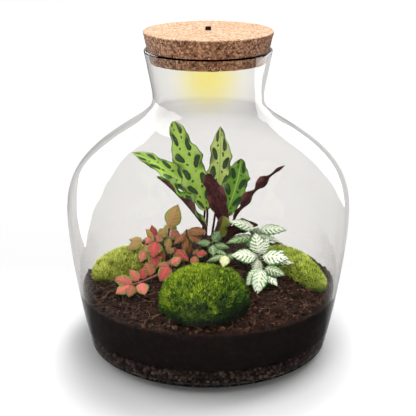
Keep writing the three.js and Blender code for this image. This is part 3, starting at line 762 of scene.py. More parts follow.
def lumps(rng, centres, sizes, ball, rough):
    """Rough lumps of given centres and three half sizes each, as one array of points and faces."""
    points, faces = ball
    count = len(centres)
    dent = 1 + rough * rng.uniform(-1, 1, (count, len(points), 1))
    local = points[None] * sizes[:, None] * dent
    turned = np.einsum("nij,nkj->nki", random_turns(rng, count), local)
    all_points = turned + centres[:, None]
    offsets = np.arange(count)[:, None, None] * len(points)
    return all_points.reshape(-1, 3), (faces[None] + offsets).reshape(-1, 3)


def disc_places(rng, count, radius):
    """Random places on a disc."""
    reach = radius * np.sqrt(rng.uniform(0, 1, count))
    around = rng.uniform(0, 2 * np.pi, count)
    return reach * np.sin(around), -reach * np.cos(around)


CRUMBS, LARGEST_CRUMB = 5200, 2.6
FIBRES = 1500


def crumbs_shape():
    """Loose crumbs and fibres on the soil."""
    rng = np.random.default_rng(5)
    x, y = disc_places(rng, CRUMBS, inner_radius(SOIL_RIM + 3) - 2.2)
    size = np.minimum(rng.gamma(2.2, 0.42, CRUMBS) + 0.35, LARGEST_CRUMB)
    halves = size[:, None] * rng.uniform(0.55, 1.15, (CRUMBS, 3))
    z = soil_height(x, y) + crumb_height(x, y) + 0.25 * size
    points, faces = lumps(rng, np.stack([x, y, z], -1), halves, (ICO_POINTS, ICO_FACES), 0.28)
    shape = Shape()
    shape.add(points, faces, tone=np.repeat(rng.uniform(0, 1, CRUMBS), len(ICO_POINTS)))
    shares = np.linspace(-0.5, 0.5, 5)
    for x, y in zip(*disc_places(rng, FIBRES, inner_radius(SOIL_RIM + 3) - 6)):
        heading = rng.uniform(0, 2 * np.pi)
        bend = rng.uniform(-1.2, 1.2)
        length = rng.uniform(2.5, 9.0)
        turn = heading + bend * shares
        px = x + length * shares * np.cos(turn)
        py = y + length * shares * np.sin(turn)
        lift = rng.uniform(0.2, 1.2) + rng.uniform(-1.4, 1.4) * shares
        pz = soil_height(px, py) + 0.5 * crumb_height(px, py) + 0.6 + lift
        thin = rng.uniform(0.12, 0.3)
        shape.add(*tube(np.stack([px, py, pz], -1), thin, 3), tone=rng.uniform(0.4, 1.5))
    return shape


def crumb_material():
    """Crumbs and fibres, from nearly black to pale brown."""
    paint = Paint("crumbs_and_fibres")
    tone = paint.attribute("tone") * 0.7 + paint.noise(paint.vector(), 1.5, 3.0) * 0.5 - 0.15
    colour = paint.ramp(
        tone, (0.0, (0.005, 0.002, 0.0013)), (0.4, (0.022, 0.0092, 0.0057)),
        (0.75, (0.075, 0.034, 0.021)), (1.0, (0.28, 0.15, 0.09)),
    )
    return paint.rough_surface(colour, 0.9, 0.7, 3.0, 0.3)


make_piece("soil_bed", soil_shape(), [soil_material()], ["soil"], "soil")
make_piece("soil_crumbs", crumbs_shape(), [crumb_material()], [], "soil", smooth=False)


# ---------------------------------------------------------------- drainage grains
def grain_material():
    """Damp clay; at tone 0, that of the filling between the grains, its darkest colour is painted
    shade.
    """
    paint = Paint("clay_grains")
    tone = paint.attribute("tone") * 0.6 + paint.noise(paint.vector(), 2.2, 4.0) * 0.5 - 0.1
    colour = paint.ramp(
        tone, (0.0, (0.006, 0.004, 0.0036)), (0.45, (0.03, 0.018, 0.0145)),
        (0.9, (0.12, 0.07, 0.056)),
    )
    return paint.rough_surface(colour, 0.85, 0.9, 3.0, 0.35)


GRAIN_ROW, GRAIN_STEP = 2.9, 4.3  # from one row to the next, and along a row
LOWEST_GRAIN = 7.2


def grains_shape():
    """Rounded clay grains, packed along the glass round a dark filling that is painted shade
    between them.
    """
    rng = np.random.default_rng(9)
    shape = Shape()
    levels = np.linspace(BASE_THICKNESS + 0.3, GRAINS_TOP, 8)
    edge = inner_radius(levels) + 0.3 - 1.9 * smoothstep(8, 13, levels)
    filling = [[0, levels[0]], *np.stack([edge, levels], -1), [0, GRAINS_TOP]]
    # Painted shade: the filling takes the darkest tone, seen in the gaps between the grains.
    shape.add(*lathe(filling, 160), tone=0.0)
    centres, sizes = [], []
    for row, z in enumerate(np.arange(BASE_THICKNESS + 2.0, GRAINS_TOP, GRAIN_ROW)):
        reach = inner_radius(z) - 0.9
        count = int(2 * np.pi * reach / GRAIN_STEP)
        around = circle(count) + (row % 2) * np.pi / count + rng.normal(0, 0.006, count)
        size = rng.uniform(1.5, 2.7, (count, 1)) * rng.uniform(0.75, 1.15, (count, 3))
        inset = size.max(axis=1) - 1.9
        height = z + rng.normal(0, 0.6, count)
        centres.append(round_points(reach - inset, np.maximum(height, LOWEST_GRAIN), around))
        sizes.append(size)
    centres, sizes = np.vstack(centres), np.vstack(sizes)
    points, faces = lumps(rng, centres, sizes, (BALL_POINTS, BALL_FACES), 0.06)
    shape.add(points, faces, tone=np.repeat(rng.uniform(0, 1, len(centres)), len(BALL_POINTS)))
    return shape


make_piece("clay_grains", grains_shape(), [grain_material()], ["drainage_grains"], "grains")


# ---------------------------------------------------------------- moss
# Centre, half length, half width, height and turn of each cushion, its number of blades, and how
# much painted shade darkens it low down and on its right, and painted light pales its left.
MOSSES = [
    {"name": "front", "x": -3.5, "y": -72, "a": 39.5, "b": 41, "height": 31.5, "turn": 0,
     "blades": 44000, "shade": 0.45},
    {"name": "left", "x": -80, "y": 14, "a": 24, "b": 38, "height": 19, "turn": -40,
     "blades": 22000, "shade": 0},
    {"name": "right", "x": 84, "y": 8, "a": 17, "b": 49, "height": 18.5, "turn": 24.5,
     "blades": 20000, "shade": 0},
]
# Reach and height of a cushion at even steps from its crown to its foot.
DOME_REACH = [0.0, 0.38, 0.7, 0.9, 0.985, 1.0, 1.0]
DOME_LIFT = [1.0, 0.97, 0.82, 0.6, 0.34, 0.1, -0.12]
CORE_GRID = (40, 96)
CORE_INSET = 2.2  # how far the core and the roots of the blades lie under a cushion's outline
ROOT_INSET = 2.6
BLADE_LENGTH = 4.3
BLADE_RADIUS = (0.26, 0.5)  # at the root, least and most


def dome_points(moss, around, depth, inset):
    """Places on a cushion; depth runs from 0 at the crown to 1 at the foot."""
    angle = math.radians(moss["turn"])
    knots = np.linspace(0, 1, len(DOME_REACH))
    reach = np.interp(depth, knots, DOME_REACH)
    lift = np.interp(depth, knots, DOME_LIFT)
    wobble = 1 + 0.03 * np.sin(3 * around + moss["x"]) + 0.02 * np.sin(5 * around - moss["y"])
    u = (moss["a"] - inset) * reach * wobble * np.sin(around)
    v = -(moss["b"] - inset) * reach * wobble * np.cos(around)
    px = moss["x"] + u * math.cos(angle) - v * math.sin(angle)
    py = moss["y"] + u * math.sin(angle) + v * math.cos(angle)
    lump = 0.9 * np.sin(px * 0.35 + py * 0.2) * np.sin(py * 0.4) * (reach < 0.995)
    ground = ground_level(moss["x"], moss["y"])
    pz = ground + (moss["height"] - inset) * lift + lump
    return np.stack([px, py, pz], -1)


def moss_material(name, dark, middle, light):
    """Blades that are dark at the root, as painted shade among them, and pale at the tip."""
    paint = Paint(name)
    patches = paint.noise(paint.vector(), 16.0, 3.0)
    share = paint.attribute("tip") * 0.42 + paint.attribute("tone") * 0.7 + patches * 0.2 - 0.2
    colour = paint.ramp(share, (0.18, dark), (0.55, middle), (0.9, light))
    return paint.rough_surface(colour, 0.7, 0.6, 2.0, 0.2, Sheen_Weight=0.15)


def moss_shape(moss, seed):
    """Dense cushion with a coat of fine pointed blades."""
    rng = np.random.default_rng(seed)
    shape = Shape()
    rows, columns = CORE_GRID
    depth = np.linspace(0, 1, rows)[1:, None]
    core = dome_points(moss, circle(columns)[None], depth, CORE_INSET)
    crown = dome_points(moss, np.zeros(1), np.zeros(1), CORE_INSET)
    foot = [[moss["x"], moss["y"], float(core[-1, :, 2].min()) - 2]]
    points = np.vstack([core.reshape(-1, 3), crown, foot])
    faces = closed_faces(rows - 1, columns)
    # The core under the blades takes the darkest colours, as painted shade between them.
    shape.add(points, [block[:, ::-1] for block in faces], tip=0.0, tone=0.3)
    count = moss["blades"]
    around = rng.uniform(0, 2 * np.pi, count)
    depth = rng.uniform(0, 1, count) ** 0.62
    root = dome_points(moss, around, depth, ROOT_INSET)
    step_in = dome_points(moss, around, np.minimum(depth + 0.03, 1), ROOT_INSET)
    step_round = dome_points(moss, around + 0.03, depth, ROOT_INSET)
    outward = unit(np.cross(step_round - root, step_in - root))
    centre = np.array([moss["x"], moss["y"], ground_level(moss["x"], moss["y"])])
    outward *= np.sign(np.sum(outward * (root - centre), -1, keepdims=True))
    tuft = lattice_noise(root, 2.3, seed + 3)
    clump = lattice_noise(root, 7.0, seed + 5)
    lean = np.stack([lattice_noise(root, 3.4, seed + k) for k in (11, 12, 13)], -1)
    direction = unit(
        0.7 * outward + 0.55 * WORLD_UP + 0.25 * lean + 0.28 * rng.normal(size=(count, 3))
    )
    length = (BLADE_LENGTH + tuft + 0.6 * clump) * rng.uniform(0.5, 1.1, count)
    tips = root + direction * length[:, None]
    thin = rng.uniform(*BLADE_RADIUS, count)[:, None]
    side = unit(np.cross(direction, rng.normal(size=(count, 3))))
    other = np.cross(direction, side)
    corners = [root + thin * (math.cos(t) * side + math.sin(t) * other) for t in circle(3)]
    blades = np.stack([*corners, tips], axis=1).reshape(-1, 3)
    offset = 4 * np.arange(count)[:, None, None]
    faces = (np.array([[0, 1, 3], [1, 2, 3], [2, 0, 3], [0, 2, 1]])[None] + offset).reshape(-1, 3)
    # Roots sit low on the ramp, as painted shade among the blades.
    tip = np.tile([0.12, 0.12, 0.12, 1.0], count)
    # Painted shade and light: every cushion is darker at its foot; one with shade is darker low
    # down and on its right and paler on its left.
    foot = smoothstep(0.7, 1, depth)
    right = smoothstep(0.2, 1, np.sin(around)) * depth
    left = smoothstep(0.2, 1, -np.sin(around)) * depth
    shade = moss["shade"] * (0.55 * smoothstep(0.3, 0.8, depth) + 1.25 * right - 0.3 * left - 0.05)
    tone = rng.uniform(0, 1, count) + 0.3 * tuft + 0.2 * clump - 0.6 * foot - shade
    shape.add(blades, faces, tip=tip, tone=np.repeat(tone, 4))
    return shape


MOSS_COLOURS = {  # dark, middle, light
    "front": ((0.003, 0.01, 0.0003), (0.08, 0.27, 0.001), (0.82, 0.92, 0.03)),
    "left": ((0.03, 0.045, 0.001), (0.66, 0.74, 0.03), (0.98, 0.98, 0.4)),
    "right": ((0.02, 0.035, 0.001), (0.5, 0.66, 0.02), (0.96, 0.97, 0.3)),
}
for seed, moss in enumerate(MOSSES):
    material = moss_material(f"moss_{moss['name']}", *MOSS_COLOURS[moss["name"]])
    make_piece(
        f"moss_cushion_{moss['name']}", moss_shape(moss, 40 + seed), [material],
        [f"moss_{moss['name']}"], "moss", smooth=False,
    )


# ---------------------------------------------------------------- leaves
def leaf_sheet(base, middle, tip, face, width, thickness, rows, across, outline, surface):
    """Leaf as in the CAD source, finer: points, faces and the place of each point on the leaf."""
    base, middle, tip = (np.asarray(p, float) for p in (base, middle, tip))
    control = 2 * middle - 0.5 * base - 0.5 * tip
    s = np.linspace(0, 1, rows)[:, None]
    v = np.linspace(-1, 1, across)[None]
    centre = (1 - s) ** 2 * base + 2 * s * (1 - s) * control + s**2 * tip
    tangent = unit(2 * (1 - s) * (control - base) + 2 * s * (tip - control))
    side = unit(np.cross(tangent, face))
    normal = unit(np.cross(side, tangent))
    half = np.maximum(0.35, width / 2 * outline(s, v))
    height = surface(s, v, half)
    sheet = (
        centre[:, None] + side[:, None] * (v * half)[..., None]
        + normal[:, None] * np.broadcast_to(height, (rows, across))[..., None]
    )
    thick = thickness * (0.25 + 0.75 * np.sqrt(np.maximum(0, 1 - v**2))) / 2
    lift = normal[:, None] * np.broadcast_to(thick, (rows, across))[..., None]
    upper, lower = sheet + lift, sheet - lift
    count = rows * across
    points = np.concatenate([upper.reshape(-1, 3), lower.reshape(-1, 3)])
    top = grid_faces(rows, across)
    edge = np.concatenate([
        np.arange(across), across * np.arange(1, rows) + across - 1,
        (rows - 1) * across + np.arange(across - 2, -1, -1), across * np.arange(rows - 2, 0, -1),
    ])
    following = np.roll(edge, -1)
    rim = np.stack([edge, count + edge, count + following, following], -1)
    faces = [top, top[:, ::-1] + count, rim]
    s_all, v_all = np.broadcast_arrays(s, v)
    length = np.linalg.norm(middle - base) + np.linalg.norm(tip - middle)
    flat = np.stack([s_all * length, v_all * np.broadcast_to(half, (rows, across)), 0 * s_all], -1)
    leaf = np.stack([s_all, v_all, 0 * s_all], -1).reshape(-1, 3)
    under = np.repeat([0.0, 1.0], count)
    return points, faces, {
        "leaf": np.vstack([leaf, leaf]), "flat": np.vstack([flat.reshape(-1, 3)] * 2),
        "under": under,
    }


STEM_STEPS = 14


def planted_line(foot, points):
    """Line of a stem that rises straight out of the soil and then follows its points."""
    ground = float(ground_level(*foot))
    upright = [[*foot, FOOT_Z], [*foot, ground + 1], [*foot, ground + COLLAR]]
    return spline([*upright, *points], STEM_STEPS)


# ---------------------------------------------------------------- calathea
CALATHEA_THICKNESS = 0.9
CALATHEA_GRID = (84, 33)  # points along and across a blade
CALATHEA_VEINS, CALATHEA_SLANT = 40, 7  # veins along half a blade, and how far they run to the tip
CALATHEA_PLEATS, PLEAT_SLANT = 23, 2.5
BLOTCH_STEP = 17  # millimetres of blade from one large blotch to the next
YOUNG = -1.0  # tone of a young leaf, which is mauve and olive
TOWARDS_VIEWER = [0, -1, 0.35]
# Foot of the petiole; base, middle and tip of the blade; the way it faces; its width, bluntness,
# number and height of waves along the edge, fold along the rib and tone, dark to pale.
CALATHEA_KEYS = "foot base middle tip face width blunt waves wave fold tone".split()
CALATHEA_LEAVES = [
    # long, low on the left
    ([-6, 38], [-4, 46, 122], [-38, 53, 153], [-75, 57, 172],
     [0.25, -0.8, 0.6], 19, 0.8, 2.2, 1.6, 0.16, 0.45),
    # tall, left of the middle
    ([-3, 42.2], [-1, 38, 119], [-16, 41, 160], [-35, 44, 204],
     TOWARDS_VIEWER, 27, 0.5, 3, 2.2, 0.12, 0.5),
    # tall, in the middle
    ([2, 43.8], [7, 50, 112], [11, 56, 152], [12, 58, 195],
     TOWARDS_VIEWER, 24, 0.6, 2.5, 1.5, 0.12, 1.0),
    # broad and dark, right of the middle
    ([6.6, 41.2], [17, 43, 111], [27, 46, 141], [32, 44, 169],
     [-0.15, -1, 0.3], 24, 0.55, 2.5, 1.6, 0.14, 0.1),
    # upright in front, back to the viewer
    ([5.5, 32.2], [16, 29, 107], [8, 23, 137], [-2, 22, 160],
     [-0.15, 1, 0.3], 17, 0.42, 2, 1.2, 0.1, 0.4),
    # low on the left, folded
    ([-5.2, 33], [-2, 31, 100], [-24, 22, 134], [-48, 11, 161],
     [0.35, -0.15, 0.9], 20, 0.6, 2.6, 2, 0.55, 0.25),
    # narrow, up to the right, back to the viewer
    ([8.8, 36.6], [25, 33, 111], [46, 22, 145], [71, 7, 173],
     [-0.6, 0.75, 0.45], 13, 0.6, 3, 1.6, 0.25, 0.3),
    # low on the right
    ([10.6, 32], [18, 27, 94], [31, 24, 105], [48, 21, 109],
     [0, 1, 0.35], 16, 0.6, 1.5, 1, 0.25, 0.3),
    # young, rolled, in the heart of the clump
    ([0.6, 30.4], [8, 28, 95], [12, 23, 107], [14, 21, 119],
     [0.35, -0.7, 0.5], 16, 0.5, 1, 0.6, 0.5, YOUNG),
]


def calathea_material():
    """Yellow-green blade with dark oval blotches by turns large and small, maroon beneath."""
    paint = Paint("calathea_blade")
    place = paint.vector()
    s, v, _ = paint.split(paint.attribute("leaf", "Vector"))
    tone = paint.attribute("tone")
    a = v.math("ABSOLUTE")
    side = v.math("GREATER_THAN", 0.0)
    rough = paint.noise(place, 2.5, 3.0) - 0.5
    pair = s * paint.attribute("pairs") + side * 0.5 + 40.0
    large = pair.math("FRACT") - 0.5
    small = (pair + 0.5).math("FRACT") - 0.5
    along, out = large / 0.36, (a - 0.52 - large * 0.4) / 0.24
    distance = (along * along + out * out).math("SQRT")
    along, out = small / 0.08, (a - 0.24) / 0.08
    dot = (along * along + out * out).math("SQRT") + rough * 4.0
    distance = distance.math("MINIMUM", dot)
    blotch = (distance + rough * 0.4).step(1.08, 0.84)
    veins = ((s * CALATHEA_VEINS - a * CALATHEA_SLANT) * 6.2832).math("SINE")
    fresh = paint.ramp(
        tone, (0.0, (0.16, 0.42, 0.03)), (0.45, (0.5, 0.74, 0.1)), (1.0, (0.8, 0.93, 0.3)),
    )
    shaded = paint.ramp(
        tone, (0.0, (0.04, 0.18, 0.015)), (0.45, (0.19, 0.44, 0.04)), (1.0, (0.45, 0.66, 0.1)),
    )
    mottle = paint.noise(place, 8.0, 3.0).step(0.35, 0.7)
    towards_edge = (a + rough * 0.5).step(0.7, 1.1) * 0.5
    fresh = paint.coats(
        fresh, (mottle * 0.4 + towards_edge, shaded), (veins.step(0.3, 1.0) * 0.45, shaded),
    )
    middle = paint.mix(tone, (0.035, 0.08, 0.045), (0.08, 0.14, 0.06))
    middle = paint.mix(veins.step(0.2, 1.0) * 0.5, middle, (0.02, 0.05, 0.02))
    dark = paint.mix((distance + rough * 0.5).step(0.45, 0.95), middle, (0.012, 0.04, 0.012))
    young = paint.mix(side, (0.33, 0.12, 0.13), (0.38, 0.35, 0.05))
    # Painted shade in the troughs of the blade's waves and painted highlight on their crests, above
    # and beneath.
    curl = paint.attribute("curl")
    upper = paint.coats(
        paint.mix(blotch, fresh, dark), (a.step(0.07, 0.025), (0.5, 0.66, 0.2)),
        ((a + rough * 0.1).step(0.88, 0.95) * 0.85, (0.02, 0.05, 0.012)),
        (tone.math("LESS_THAN", YOUNG / 2) * 0.85, young),
        (curl.step(-0.1, -0.8) * 0.75, (0.012, 0.06, 0.014)),
        (curl.step(0.2, 0.9) * 0.35, (0.75, 0.86, 0.5)),
    )
    wrinkles_and_sheen = paint.noise(paint.vector("flat", (0.4, 1.0, 1.0)), 1.5, 3.0)
    # The underside's colour follows the same noise as its relief, from dark maroon to a pale end
    # that is painted sheen.
    under = paint.ramp(
        wrinkles_and_sheen, (0.25, (0.02, 0.005, 0.006)), (0.55, (0.085, 0.018, 0.022)),
        (0.85, (0.3, 0.09, 0.095)),
    )
    under = paint.coats(
        under, (a.step(0.1, 0.03) * 0.6, (0.12, 0.05, 0.03)),
        (curl.step(0.1, 0.8) * 0.4, (0.36, 0.12, 0.12)),
    )
    beneath = paint.attribute("under")
    colour = paint.mix(beneath.step(0.45, 0.55), upper, under)
    pleat = veins * 0.35 + wrinkles_and_sheen * 2.6 * beneath + a.step(0.1, 0.0) * 0.8
    relief = paint.bump(pleat, 0.3)
    sheen = paint.noise(place, 6.0, 2.0) * 0.2 + 0.3
    return paint.surface(Base_Color=colour, Roughness=sheen, Normal=relief)


def stem_material(name, dark, light):
    """Stem with upright streaks."""
    paint = Paint(name)
    streaks = paint.noise(paint.vector("", (1, 1, 0.15)), 1.2, 3.0)
    colour = paint.mix(streaks.step(0.3, 0.7), dark, light)
    return paint.rough_surface(colour, 0.5, 0.8, 2.0, 0.12)


def calathea_shape(leaf):
    """Waved and pleated blade on its petiole."""
    def phase(v):
        return 2 * np.pi * leaf["waves"] + np.where(v > 0, 2.1, 0)

    def outline(s, v):
        inside = np.clip(np.sin(np.pi * np.clip(s, 0, 1) ** 0.92), 0, 1) ** leaf["blunt"]
        edge = 1 + 0.14 * np.sin(phase(v) * s + 1.2) + 0.05 * np.sin(2.7 * phase(v) * s)
        return inside * (1 + (edge - 1) * smoothstep(0, 0.3, np.abs(v)))

    def surface(s, v, half):
        ripple = np.sin(phase(v) * s) * np.sin(np.pi * s)
        pleats = np.sin(2 * np.pi * (s * CALATHEA_PLEATS - np.abs(v) * PLEAT_SLANT))
        groove = -0.35 * np.exp(-((v * half / 0.8) ** 2))
        return (
            leaf["fold"] * np.abs(v) * half + 1.7 * leaf["wave"] * v * v * ripple
            + 0.16 * pleats * np.sin(np.pi * s) * np.abs(v) * (half > 2) + groove * (half > 2)
        )

    points, faces, values = leaf_sheet(
        leaf["base"], leaf["middle"], leaf["tip"], unit(leaf["face"]), leaf["width"],
        CALATHEA_THICKNESS, *CALATHEA_GRID, outline, surface,
    )
    length = values["flat"][:, 0].max()
    s, v = values["leaf"][:, 0], values["leaf"][:, 1]
    # Rise and dip of the waves, for their painted highlight and shade.
    curl = np.abs(v) ** 1.3 * np.sin(phase(v) * s + 0.6)
    shape = Shape()
    shape.add(points, faces, 0, tone=leaf["tone"], pairs=length / BLOTCH_STEP, curl=curl, **values)
    base = np.array(leaf["base"], float)
    join = base + 4 * unit(np.array(leaf["middle"]) - base)
    foot = np.array(leaf["foot"], float)
    halfway = [*(foot + (base[:2] - foot) * 0.4), (ground_level(*foot) + base[2]) / 2]
    line = planted_line(leaf["foot"], [halfway, leaf["base"], join])
    radii = np.interp(line[:, 2], [FOOT_Z, 75, base[2]], [1.35, 1.3, 1.05])
    radii = radii * np.append(np.ones(len(line) - 4), [0.9, 0.75, 0.55, 0.3])
    shape.add(*tube(line, radii, 12), 1)
    return shape


blade_material = calathea_material()
petiole_material = stem_material("calathea_petiole", (0.028, 0.009, 0.008), (0.085, 0.032, 0.024))
for number, row in enumerate(CALATHEA_LEAVES, 1):
    make_piece(
        f"calathea_{number}", calathea_shape(dict(zip(CALATHEA_KEYS, row))),
        [blade_material, petiole_material], [f"calathea_leaf_{number}"], "calathea",
    )


# ---------------------------------------------------------------- fittonias
FITTONIA_THICKNESS = 0.8
FITTONIA_GRID = (44, 19)
FITTONIA_VEINS, FITTONIA_SLANT = 7, 1.5
LIGHT = unit([0, -0.8, 1])  # the leaves turn this way
STALK_END = 0.15  # share of the leaf that is its narrow stalk
TO_WIDEST, TO_TIP = 0.55, 0.95  # how fast a blade widens from its stalk and narrows to its point
WIDEST = TO_WIDEST / (TO_WIDEST + TO_TIP)
OLIVE, PINK, RED, BROWN, WHITE, PALE, CREAM, DEEP = range(8)
# Each plant: foot, path of the stem and leaves. Each leaf: place on the stem, heading, rise,
# length, width and kind of colouring.
RED_FITTONIAS = [
    ([-38, 28], [[-39, 27, 88], [-38, 24, 105]], [
        [1, 100, 70, 27, 18, OLIVE], [0.95, -70, -22, 14, 12, OLIVE],
        [0.9, 80, -24, 13, 12, PINK], [0.83, -5, -55, 18, 8, OLIVE],
        [0.86, 170, 20, 19, 13, OLIVE]]),
    ([-45, 14], [[-48, 8, 84], [-51, 3, 104]], [
        [1, -90, 45, 12, 9, OLIVE], [0.96, -131, 72, 13, 8, RED], [0.92, -6, -46, 18, 16, RED],
        [0.78, -8, -50, 26, 14, RED], [0.87, 50, -58, 22, 8, RED], [0.82, 172, 15, 15, 11, PINK]]),
    ([-51, 8], [[-56, 8, 84], [-62, 10, 98]], [
        [1, -66, -20, 19, 11, OLIVE], [0.95, -98, 4, 15, 9, OLIVE], [0.84, -20, -40, 18, 11, PINK],
        [0.9, 12, -45, 13, 8, OLIVE], [0.86, 165, 20, 14, 10, PINK]]),
    ([-40, -14], [[-46, -24, 77], [-58, -36, 76], [-71, -46, 75]], [
        [0.92, -82, 18, 20, 13, PINK], [0.84, -114, 48, 15, 10, PINK],
        [0.76, -150, 62, 12, 9, RED], [0.62, -142, 55, 15, 14, BROWN],
        [1, -50, -12, 18, 12, PINK], [0.95, -8, -16, 18, 11, BROWN],
        [0.83, 18, -18, 18, 13, PINK]]),
    ([-31, -11], [[-34, -17, 78], [-36, -23, 87]], [
        [1, -36, -40, 19, 14, RED], [0.93, 105, 30, 13, 10, PINK], [0.87, -100, 5, 13, 9, PINK],
        [0.8, 175, 30, 12, 9, BROWN]]),
    ([-20, 27], [[-21, 24, 88], [-21, 19, 105]], [
        [1, 74, 0, 21, 11, BROWN], [0.95, 60, -30, 20, 9, BROWN], [0.91, -45, -24, 18, 8, BROWN],
        [0.87, -14, -58, 18, 8, BROWN], [0.83, 20, -58, 18, 8, BROWN],
        [0.79, 168, 15, 15, 10, OLIVE]]),
    ([-24, 9], [[-28, 5, 79], [-32, 2, 93]], [
        [1, 64, -35, 18, 9, RED], [0.92, 22, -50, 14, 8, BROWN], [0.86, -125, 5, 11, 8, PINK]]),
    ([-12, 9], [[-13, 6, 77], [-12, 3, 87]], [
        [1, 62, 12, 13, 9, RED], [0.93, -8, -28, 14, 9, BROWN], [0.86, 168, 20, 12, 8, BROWN]]),
]
WHITE_FITTONIAS = [
    ([39, 20], [[43, 17, 88], [47, 13, 108]], [
        [1, -78, 22, 30, 13, WHITE], [0.96, 76, 6, 29, 13, WHITE], [0.92, 105, 0, 26, 10, DEEP],
        [0.87, 70, -12, 28, 6, WHITE], [0.92, -52, -42, 17, 10, DEEP],
        [0.83, -66, -4, 31, 11, PALE], [0.8, 170, 10, 20, 14, DEEP]]),
    ([46, 0], [[47, -6, 78], [48, -12, 91]], [
        [1, -152, 68, 22, 18, WHITE], [0.95, 128, 55, 20, 12, WHITE],
        [0.92, -74, 10, 28, 17, WHITE], [0.9, -28, -46, 15, 13, WHITE],
        [0.94, 75, 2, 28, 18, WHITE], [0.84, 108, 12, 27, 9, WHITE],
        [0.8, 84, -2, 34, 10, WHITE], [0.76, -170, 10, 16, 11, DEEP]]),
    ([49, -15], [[49, -22, 79], [50, -30, 87]], [
        [0.96, -54, -36, 23, 14, WHITE], [1, -15, -34, 30, 17, WHITE],
        [0.88, 41, -28, 23, 13, WHITE], [0.93, 66, -10, 23, 13, DEEP],
        [0.84, -32, -36, 22, 9, DEEP]]),
]
CENTRE_FITTONIAS = [
    ([6, 20], [[5, 15, 84], [4, 9, 96]], [
        [1, 100, 58, 14, 12, PALE], [0.96, -78, 4, 16, 9, PALE], [0.91, 74, -6, 17, 9, PALE],
        [0.93, 4, -48, 12, 11, PALE], [0.85, 50, -20, 18, 9, PALE]]),
    ([15, 5], [[16, 1, 79], [17, -4, 89]], [
        [1, -18, -42, 13, 11, CREAM], [0.93, -80, -14, 19, 7, PALE],
        [0.88, 78, 10, 11, 8, PALE]]),
]
# Ground between the veins, net of veins, margin, and how wide the net spreads.
COLOURINGS = {
    OLIVE: ((0.38, 0.4, 0.07), (0.72, 0.3, 0.15), (0.2, 0.42, 0.04), 0.3),
    PINK: ((0.24, 0.28, 0.05), (0.9, 0.16, 0.19), (0.16, 0.5, 0.06), 0.36),
    RED: ((0.14, 0.16, 0.03), (0.86, 0.08, 0.12), (0.13, 0.46, 0.05), 0.32),
    BROWN: ((0.15, 0.13, 0.025), (0.64, 0.19, 0.11), (0.13, 0.24, 0.03), 0.42),
    WHITE: ((0.05, 0.27, 0.015), (0.98, 0.98, 0.84), (0.05, 0.28, 0.02), 0.68),
    PALE: ((0.03, 0.18, 0.02), (0.72, 0.86, 0.5), (0.03, 0.2, 0.015), 0.2),
    CREAM: ((0.4, 0.55, 0.16), (0.97, 0.97, 0.62), (0.6, 0.5, 0.05), 1.1),
    DEEP: ((0.02, 0.12, 0.012), (0.8, 0.88, 0.62), (0.02, 0.13, 0.012), 0.2),
}


def fittonia_material():
    """Blade with a pale or pink net of veins on green."""
    paint = Paint("fittonia_blade")
    s, v, _ = paint.split(paint.attribute("leaf", "Vector"))
    a = v.math("ABSOLUTE")
    ground = paint.attribute("ground", "Vector")
    net = paint.attribute("net", "Vector")
    margin = paint.attribute("margin", "Vector")
    spread = paint.attribute("spread")
    flat = paint.vector("flat")
    wander = paint.noise(flat, 3.0, 2.0) - 0.5
    rib = a.step(0.12, 0.04)
    row = s * FITTONIA_VEINS - a * FITTONIA_SLANT + wander * 0.3
    lateral = (row.math("FRACT") - 0.5).math("ABSOLUTE")
    lateral = (lateral - spread * 0.3 + a * a * 0.12).step(0.14, 0.04)
    number = paint.attribute("number")
    woven = paint.node("CombineXYZ", {0: row * 2.0, 1: v * 4.0, 2: number * 7.3})
    mesh = paint.cells(woven, 1.0, feature="DISTANCE_TO_EDGE")
    fine = (mesh - spread * 0.05).step(0.09, 0.02)
    vein = rib.math("MAXIMUM", lateral).math("MAXIMUM", fine)
    colour = paint.mix(vein, ground, net)
    edge = (a + wander * 0.3).step(0.74, 0.92)
    colour = paint.mix(edge * 0.9, colour, margin)
    # Painted shade: leaves picked by chance are darkened, as if in the shade of others.
    chance = ((number * 12.9898).math("SINE") * 43.75).math("FRACT")
    shaded = paint.mix(0.5, ground, (0.012, 0.03, 0.006))
    colour = paint.mix(chance.step(0.6, 0.0) * (0.62 - spread * 0.6), colour, shaded)
    under = paint.attribute("under").step(0.45, 0.55)
    dull = paint.mix(0.6, colour, (0.2, 0.26, 0.1))
    colour = paint.mix(under * 0.6, colour, dull)
    relief = paint.bump(1 - vein, 0.35)
    return paint.surface(Base_Color=colour, Roughness=0.38, Normal=relief)


